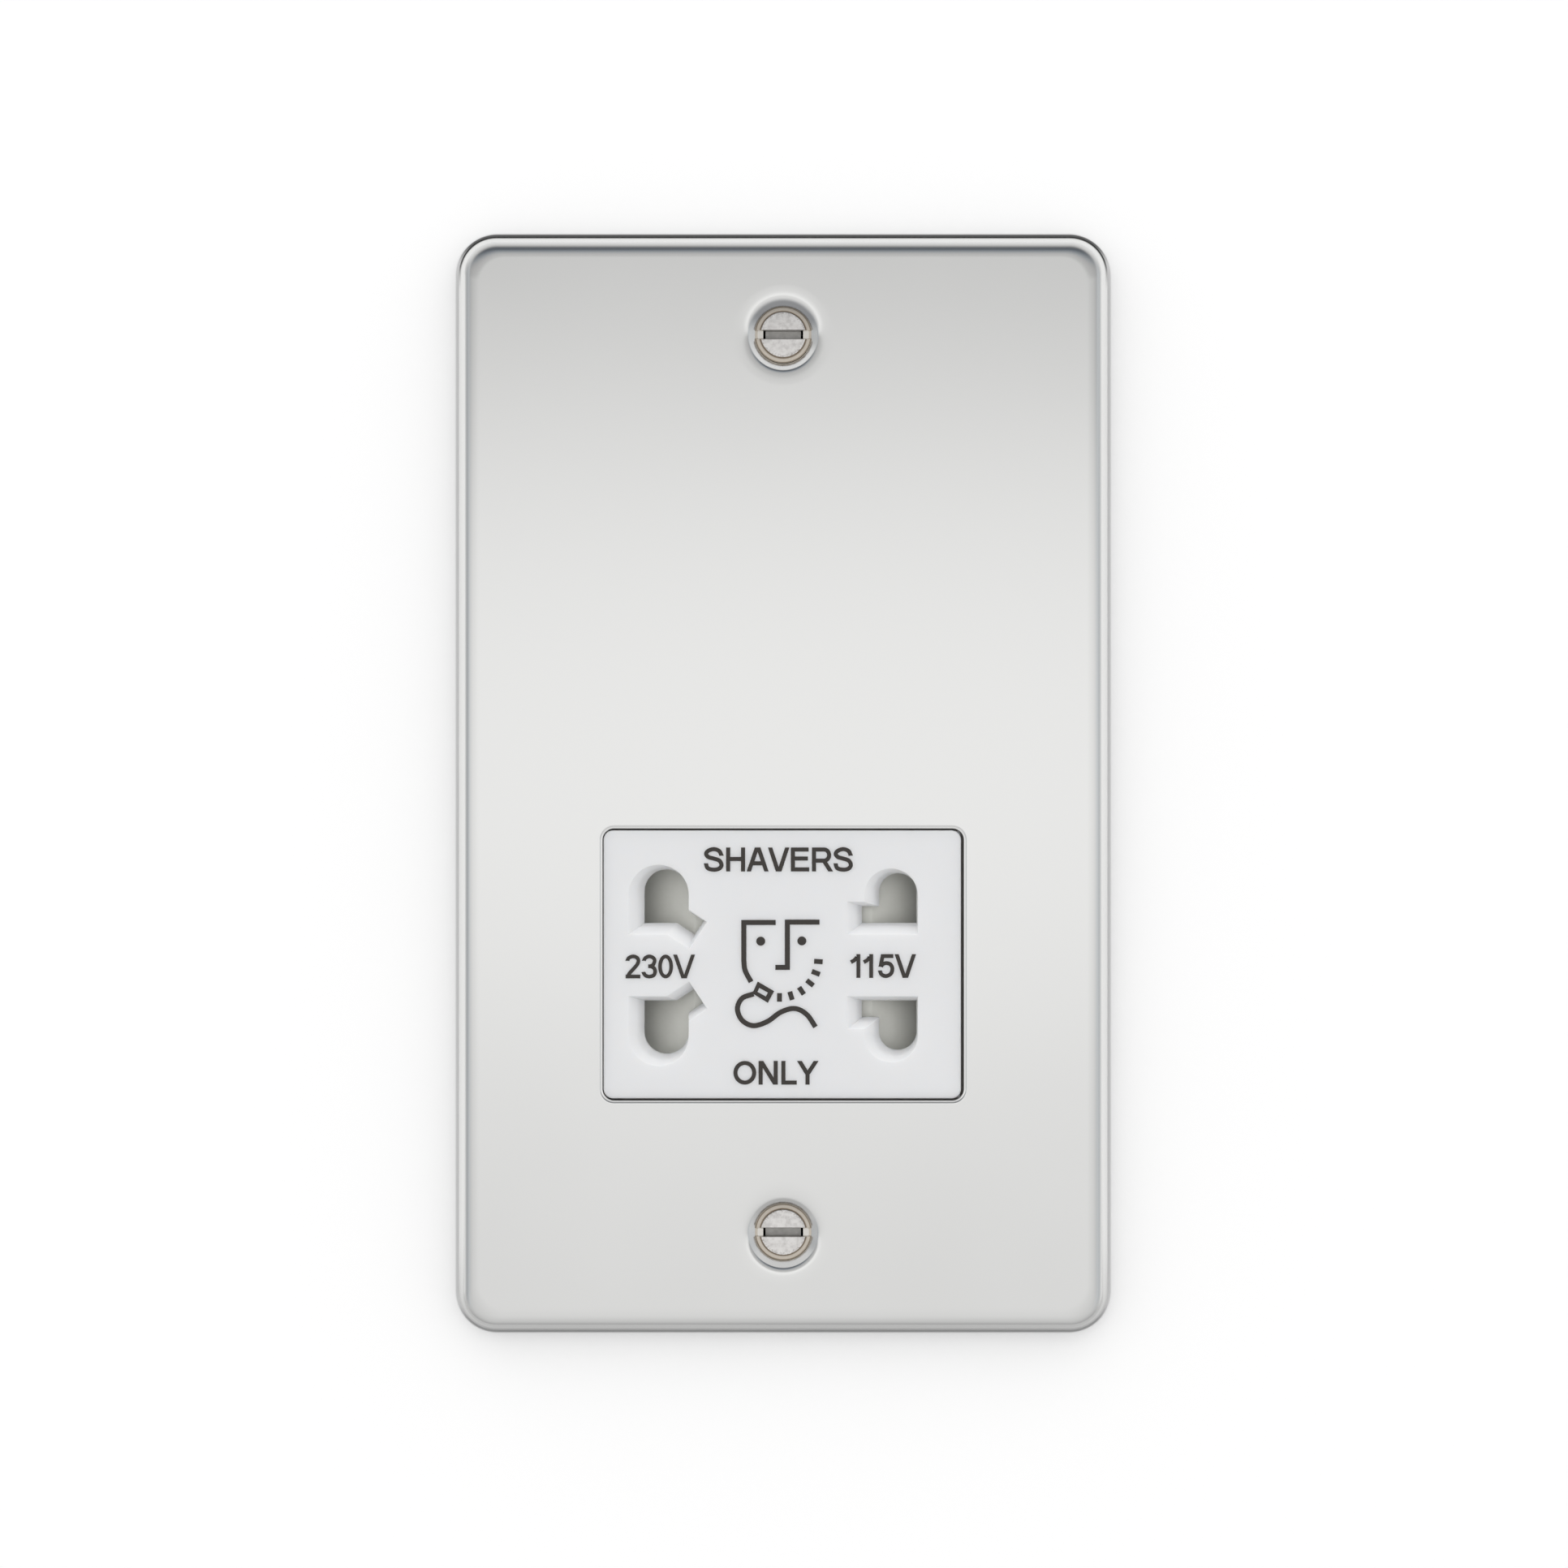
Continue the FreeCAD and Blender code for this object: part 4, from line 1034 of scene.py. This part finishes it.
# %% Letters and figures
def letter_strokes(letter, e, h):
    """Strokes of a letter in a box of 1 by 1, for a pen of half widths e across and h up."""
    stem, far_stem = [(e, 0), (e, 1)], [(1 - e, 0), (1 - e, 1)]
    turn = np.linspace(math.pi / 2, -math.pi / 2, 12)
    bowl = np.stack([0.58 + (0.325 - e) * np.cos(turn), 0.725 - h / 2 + (0.275 - h / 2) * np.sin(turn)],
                    axis=-1)
    return {
        "A": [[(1.15 * e, 0), (0.47, 1)], [(1 - 1.15 * e, 0), (0.53, 1)], [(0.22, 0.34), (0.78, 0.34)]],
        "E": [stem, [(e, 1 - h), (0.97, 1 - h)], [(e, 0.54), (0.93, 0.54)], [(e, h), (1, h)]],
        "H": [stem, far_stem, [(e, 0.52), (1 - e, 0.52)]],
        "L": [stem, [(e, h), (1, h)]],
        "N": [stem, far_stem, [(1.1 * e, 1), (1 - 1.1 * e, 0)]],
        "R": [stem, np.concatenate([[(e, 1 - h)], bowl, [(e, 0.45)]]), [(0.56, 0.45), (1 - 1.2 * e, 0)]],
        "S": [smooth_path([
            (0.90, 0.66), (0.78, 0.85), (0.50, 0.93), (0.21, 0.86), (0.10, 0.73), (0.22, 0.60),
            (0.50, 0.535), (0.79, 0.45), (0.90, 0.27), (0.78, 0.12), (0.50, 0.075), (0.19, 0.135),
            (0.085, 0.34)])],
        "V": [[(1.1 * e, 1), (0.47, 0)], [(1 - 1.1 * e, 1), (0.53, 0)]],
        "Y": [[(1.2 * e, 1), (0.49, 0.44)], [(1 - 1.2 * e, 1), (0.49, 0.44)], [(0.49, 0), (0.49, 0.48)]],
        "1": [far_stem, smooth_path([(0.04, 0.66), (0.42, 0.755), (0.68, 0.89)])],
        "2": [smooth_path([
            (0.12, 0.74), (0.22, 0.86), (0.50, 0.925), (0.77, 0.87), (0.87, 0.74), (0.79, 0.59),
            (0.55, 0.41), (0.26, 0.21), (0.16, 0.08)]), [(0, h), (1, h)]],
        "3": [smooth_path([
            (0.12, 0.74), (0.23, 0.86), (0.49, 0.925), (0.75, 0.87), (0.86, 0.75), (0.76, 0.58),
            (0.57, 0.515), (0.42, 0.51)]), smooth_path([
            (0.42, 0.51), (0.63, 0.50), (0.84, 0.41), (0.89, 0.27), (0.79, 0.13), (0.49, 0.075),
            (0.22, 0.13), (0.09, 0.26)])],
        "5": [[(0.94, 1 - h), (0.27, 1 - h), (0.15, 0.5)], smooth_path([
            (0.15, 0.47), (0.30, 0.58), (0.52, 0.62), (0.77, 0.56), (0.88, 0.375), (0.78, 0.17),
            (0.48, 0.075), (0.20, 0.15), (0.10, 0.31)])],
    }[letter]


def word(name, top, bottom, pen, boxes):
    """A row of letters, each (letter, left, right), on the face of the insert."""
    patches = []
    for letter, left, right in boxes:
        size = np.array([right - left, top - bottom])
        if letter in "O0":
            patches.append(oval((left + right) / 2, (top + bottom) / 2, *(size / 2), pen))
        else:
            for path in letter_strokes(letter, *(pen / 2 / size)):
                patches.append(ribbon(np.array([left, bottom]) + np.array(path) * size, pen, level=True))
    return printed(name, patches)


word("print_top", -8.6, -11.82, 0.55, [
    ("S", -10.6, -8.02), ("H", -7.66, -5.11), ("A", -4.93, -1.93), ("V", -2.06, 0.85),
    ("E", 1.03, 3.49), ("R", 3.86, 6.71), ("S", 6.8, 9.33)])
word("print_bottom", -37.25, -40.43, 0.55, [
    ("O", -6.68, -3.62), ("N", -3.3, -0.73), ("L", -0.25, 1.82), ("Y", 1.84, 4.75)])
word("print_230v", -22.98, -26.17, 0.5, [
    ("2", -21.15, -19.17), ("3", -18.94, -16.98), ("0", -16.78, -14.78), ("V", -14.78, -11.82)])
word("print_115v", -22.92, -26.1, 0.52, [
    ("1", 9.03, 10.35), ("1", 10.76, 12.07), ("5", 12.76, 14.91), ("V", 14.94, 17.85)])


# %% [markdown]
# The shaver sign is the common one: a half face in a few strokes, a shaver on a curled cord, and a fan
# of dashes for the beard, which stand on an arc at equal angles.

# %% Shaver sign
sign_x = -0.81
sign_z = -25.5
sign_pen = 0.68
eye = 0.6
beard_pen = 0.66
beard_first = 4.0
beard_turn = 17.33
beard_centre = np.array([0.37, 1.95])
beard_reach = np.array([[4.6], [5.75]])


def shaver_sign():
    """Strokes, eyes and dashes of the sign. A dash is centre + reach * (cos a, sin a), a below level."""
    left_face = np.concatenate([[(-0.2, 6.83), (-4.475, 6.83)],
                                smooth_path([(-4.475, 1.7), (-4.3, 0.4), (-3.5, -1.15)])])
    cord = smooth_path([(-3.15, -2.75), (-4.7, -3.35), (-5.33, -4.75), (-4.7, -6.3), (-3.17, -7.02),
                        (-1.3, -6.45), (0.5, -5.2), (2.37, -4.72), (3.95, -5.5), (5.15, -7.19)])
    brow_and_nose = np.array([(5.68, 6.88), (1.373, 6.88), (1.373, 0.805), (-0.24, 0.805)])
    origin = np.array([sign_x, sign_z])
    patches = [ribbon(origin + path, sign_pen) for path in (left_face, brow_and_nose, cord)]
    for x, z in ((sign_x - 2.204, sign_z + 4.32), (sign_x + 3.313, sign_z + 4.36)):
        patches.append(oval(x, z, eye, eye))
    body = np.array([[(-2.61, -1.10), (-0.40, -2.38), (-1.25, -3.96), (-3.33, -2.67)],
                     [(-2.40, -1.95), (-1.25, -2.57), (-1.52, -3.10), (-2.64, -2.48)]])
    patches.append(grid(on_face(origin + body), closed=True))
    for k in range(6):
        angle = -math.radians(beard_first + beard_turn * k)
        spoke = np.array([math.cos(angle), math.sin(angle)])
        patches.append(ribbon(origin + beard_centre + spoke * beard_reach, beard_pen))
    return patches


printed("print_sign", shaver_sign())


# %% [markdown]
# The picture is taken straight on, from far enough away that the sides of the plate don't show. The
# wall is a backdrop just behind the plate. Seen from behind it lets everything through, so the
# housing can be looked at too. From the front it is white paint, and to the camera it also has a little
# light of its own, which keeps it white and leaves the soft shadow round the plate. A dark line round
# the plate's foot is a painted contact shadow, and in mirrored views the wall is painted dim below the
# plate and dark close above it, as painted shade.

# %% Camera
pixels_per_mm = 9.18
picture_pixels = 1932
lens = 100.0
sensor = 36.0
picture_width = picture_pixels / pixels_per_mm
distance = picture_width * lens / sensor

# Pixels where the plate's sides lie in the photo.
plate_left, plate_right, plate_top, plate_bottom = 563.5, 1366.5, 289.5, 1641.0
aim_x = (picture_pixels - plate_left - plate_right) / 2 / pixels_per_mm
aim_z = (plate_top + plate_bottom - picture_pixels) / 2 / pixels_per_mm

camera = new_object("camera", bpy.data.cameras.new("camera"))
camera.data.lens = lens
camera.data.sensor_width = sensor
camera.location = (aim_x * MM, (front - distance) * MM, aim_z * MM)
camera.rotation_euler = (math.pi / 2, 0.0, 0.0)
bpy.context.scene.camera = camera
print("camera", round(distance), "mm in front")


# %% Wall
wall_reach = 1500.0
wall_gap = 0.05
wall_opening = np.array([42.4, 72.4])
wall_glow = 0.147


def mirrored_view(nodes):
    """1 for a ray that metal or gloss mirrored before any dull surface was met, and 0 for others."""
    return nodes.light_path("Is Glossy Ray") * (1.0 - nodes.light_path("Diffuse Depth").at_most(1.0))


def wall_paint(nodes):
    """White paint with a painted contact shadow: a dark line where the plate meets it, strongest above the
    plate.

    The gap is the distance outside the plate's rounded outline. In mirrored views the wall is painted dim
    below the plate and dark close above it, a painted shade.
    """
    mirrored = mirrored_view(nodes)
    x, _, z = nodes.spot()
    beyond_x = (x.size() - (half_width - plate_corner)).at_least(0.0)
    beyond_z = (z.size() - (half_height - plate_corner)).at_least(0.0)
    gap = (beyond_x ** 2.0 + beyond_z ** 2.0) ** 0.5 - plate_corner
    # Painted shade in mirrored views: dark close above the plate, dim below it.
    above = z.between(66.5, 72.0) * (1.0 - gap.between(2.0, 5.2))
    below = (1.0 - z.between(-85.0, -60.0)) * (0.72 - 0.32 * gap.between(1.0, 6.0))
    # Painted contact shadow: a dark line round the plate's foot.
    line = 1.0 - gap.between(0.42, 0.68)
    strength = 0.30 + 0.60 * z.between(70.0, 73.0) + 0.32 * (1.0 - z.between(-73.0, -70.0))
    shade = (mirrored * above.at_least(below)).at_least(line * strength)
    paint = nodes.node("ShaderNodeBsdfDiffuse", sockets={
        0: nodes.blend(shade, (0.95, 0.95, 0.95), (0.03, 0.03, 0.03))})
    seen = nodes.light_path("Is Camera Ray").at_least(mirrored)
    glow = nodes.node("ShaderNodeEmission", sockets={
        0: (1.0, 1.0, 1.0, 1.0), 1: seen * (1.0 - shade) * wall_glow})
    lit = nodes.node("ShaderNodeAddShader", sockets={0: paint, 1: glow})
    clear = nodes.node("ShaderNodeBsdfTransparent")
    behind = nodes.node("ShaderNodeNewGeometry", output="Backfacing")
    both = nodes.node("ShaderNodeMixShader", sockets={0: behind, 1: lit, 2: clear})
    nodes.node("ShaderNodeOutputMaterial", sockets={0: both})


def make_wall():
    """A flat wall behind the plate's foot with an opening for the housing: two squared rings, joined."""
    corners = np.array([(-1, -1), (1, -1), (1, 1), (-1, 1)])
    rings = np.stack([corners * wall_reach, corners * wall_opening])
    depth = np.full(rings.shape[:2], plate_high[1] + wall_gap)
    flat, faces = grid(np.stack([rings[..., 0], depth, rings[..., 1]], axis=-1), closed=True)
    mesh = bpy.data.meshes.new("wall")
    mesh.from_pydata((flat * MM).tolist(), [], faces)
    material = bpy.data.materials.new("wall_paint")
    material.use_nodes = True
    wall_paint(Nodes(material.node_tree))
    mesh.materials.append(material)
    new_object("wall", mesh)


make_wall()


# %% [markdown]
# Metal shows the room, so the room is made with care. It is white straight ahead of the plate, where
# the camera stands. Above that lies a dark zone, which draws the dark line along the plate's upper
# rim, and further up it is bright again. At the sides the dark zone is faint and a little darker on
# the left, and below the light falls off slowly. Dull surfaces get a light of their own instead. It
# comes mostly from the sides and from above, with a soft share from straight ahead and a weak lamp.

# %% Room
near_black = (0.09, 0.10, 0.115)
dusk = (0.165, 0.17, 0.18)
mirror_strength = 1.145
side_fill = 1.1
ahead_fill = 1.25
ahead_power = 6.0
left_shade = 0.2


def by_angle(nodes, angle, stops):
    """Brightness by an angle from 0 to 1, through stops given in degrees of a half turn."""
    return nodes.node("ShaderNodeValToRGB", {"stops": [(turn / 180.0, colour) for turn, colour in stops]},
                      {0: angle})


def mirrored_room(nodes, x, y, z):
    """Colour that metal mirrors from the direction (x, y, z), where -y is straight ahead.

    Close to straight ahead it is brightness by height * brightness by side, each by its own angle.
    Further out it depends on the angle from straight ahead, and turns evenly from top to side to
    bottom.
    """
    by_height = by_angle(nodes, nodes.maths("ARCSINE", z) / math.pi + 0.5, [
        (10.0, 0.55), (35.0, 0.64), (50.0, 0.71), (70.0, 0.735), (84.0, 0.735), (86.0, 0.79),
        (88.5, 0.95), (93.0, 0.94), (94.5, 0.85), (96.0, 0.63), (98.0, 0.50), (105.0, 0.50),
        (110.0, 0.46), (117.0, (0.35, 0.37, 0.39)), (125.0, (0.20, 0.22, 0.245)),
        (132.0, (0.105, 0.12, 0.14)), (140.0, near_black), (145.0, dusk), (152.0, 0.40), (160.0, 0.60)])
    by_side = by_angle(nodes, nodes.maths("ARCSINE", x.size()) / math.pi, [
        (0.0, 1.0), (20.0, 0.93), (35.0, 0.88), (45.0, 0.81), (55.0, (0.69, 0.71, 0.73)),
        (62.0, (0.61, 0.63, 0.65)), (70.0, (0.50, 0.52, 0.54)), (78.0, (0.60, 0.61, 0.62)),
        (86.0, 0.85), (90.0, 0.95)])
    ahead = nodes.blend(1.0, by_height, by_side, "MULTIPLY")
    turn = nodes.maths("ARCCOSINE", -y) / math.pi
    upward = z / (x * x + z * z + 0.000001) ** 0.5
    top = by_angle(nodes, turn, [
        (50.0, near_black), (55.0, dusk), (62.0, 0.40), (70.0, 0.60), (78.0, 0.72),
        (88.0, (0.80, 0.81, 0.82))])
    side = by_angle(nodes, turn, [
        (55.0, (0.66, 0.68, 0.70)), (62.0, (0.57, 0.59, 0.61)), (70.0, (0.46, 0.48, 0.50)),
        (78.0, (0.57, 0.58, 0.59)), (86.0, 0.81), (90.0, 0.90)])
    bottom = by_angle(nodes, turn, [(55.0, 0.64), (72.0, 0.56), (86.0, 0.40)])
    upper = nodes.blend(upward.between(0.2, 0.75), side, top)
    around = nodes.blend((-upward).between(0.2, 0.75), upper, bottom)
    whole = nodes.blend(turn.between(52.0 / 180.0, 66.0 / 180.0), ahead, around)
    left = (-x).between(0.80, 0.93) * (1.0 - (-x).between(0.97, 0.995))
    return nodes.blend(left * left_shade, whole, (0.0, 0.0, 0.0))


def room(nodes):
    """The mirrored room for metal, white for the camera, and a plain light for dull surfaces.

    That light = side * (1 - y^2) * (1 + z / 2) + ahead * (-y, at least 0) ^ 6.
    """
    x, y, z = nodes.along(nodes.node("ShaderNodeTexCoord", output="Generated"))
    fill = side_fill * (1.0 - y * y) * (1.0 + 0.5 * z) + ahead_fill * (-y).at_least(0.0) ** ahead_power
    seen = nodes.light_path("Is Camera Ray")
    plain = seen + (1.0 - seen) * (1.0 - nodes.light_path("Is Glossy Ray")) * fill
    mirror = nodes.node("ShaderNodeBackground", sockets={
        0: mirrored_room(nodes, x, y, z), 1: mirror_strength})
    even = nodes.node("ShaderNodeBackground", sockets={0: (1.0, 1.0, 1.0, 1.0), 1: plain})
    light = nodes.node("ShaderNodeMixShader", sockets={0: mirrored_view(nodes), 1: even, 2: mirror})
    nodes.node("ShaderNodeOutputWorld", sockets={0: light})


world = bpy.data.worlds.new("room")
world.use_nodes = True
room(Nodes(world.node_tree))
bpy.context.scene.world = world


# %% Lamp
def soft_lamp(name, place_mm, size_mm, power):
    """Square lamp that points at the middle of the plate and shows in no reflection."""
    lamp = bpy.data.lights.new(name, "AREA")
    lamp.size = size_mm * MM
    lamp.energy = power
    made = new_object(name, lamp)
    made.location = Vector(place_mm) * MM
    made.rotation_euler = (-made.location).to_track_quat("-Z", "Y").to_euler()
    made.visible_glossy = False


soft_lamp("key_lamp", (-130.0, -950.0, 380.0), size_mm=700.0, power=0.6)


# %% [markdown]
# Last, the colours are kept as they are written.

# %% Finish
bpy.context.scene.view_settings.view_transform = "Standard"
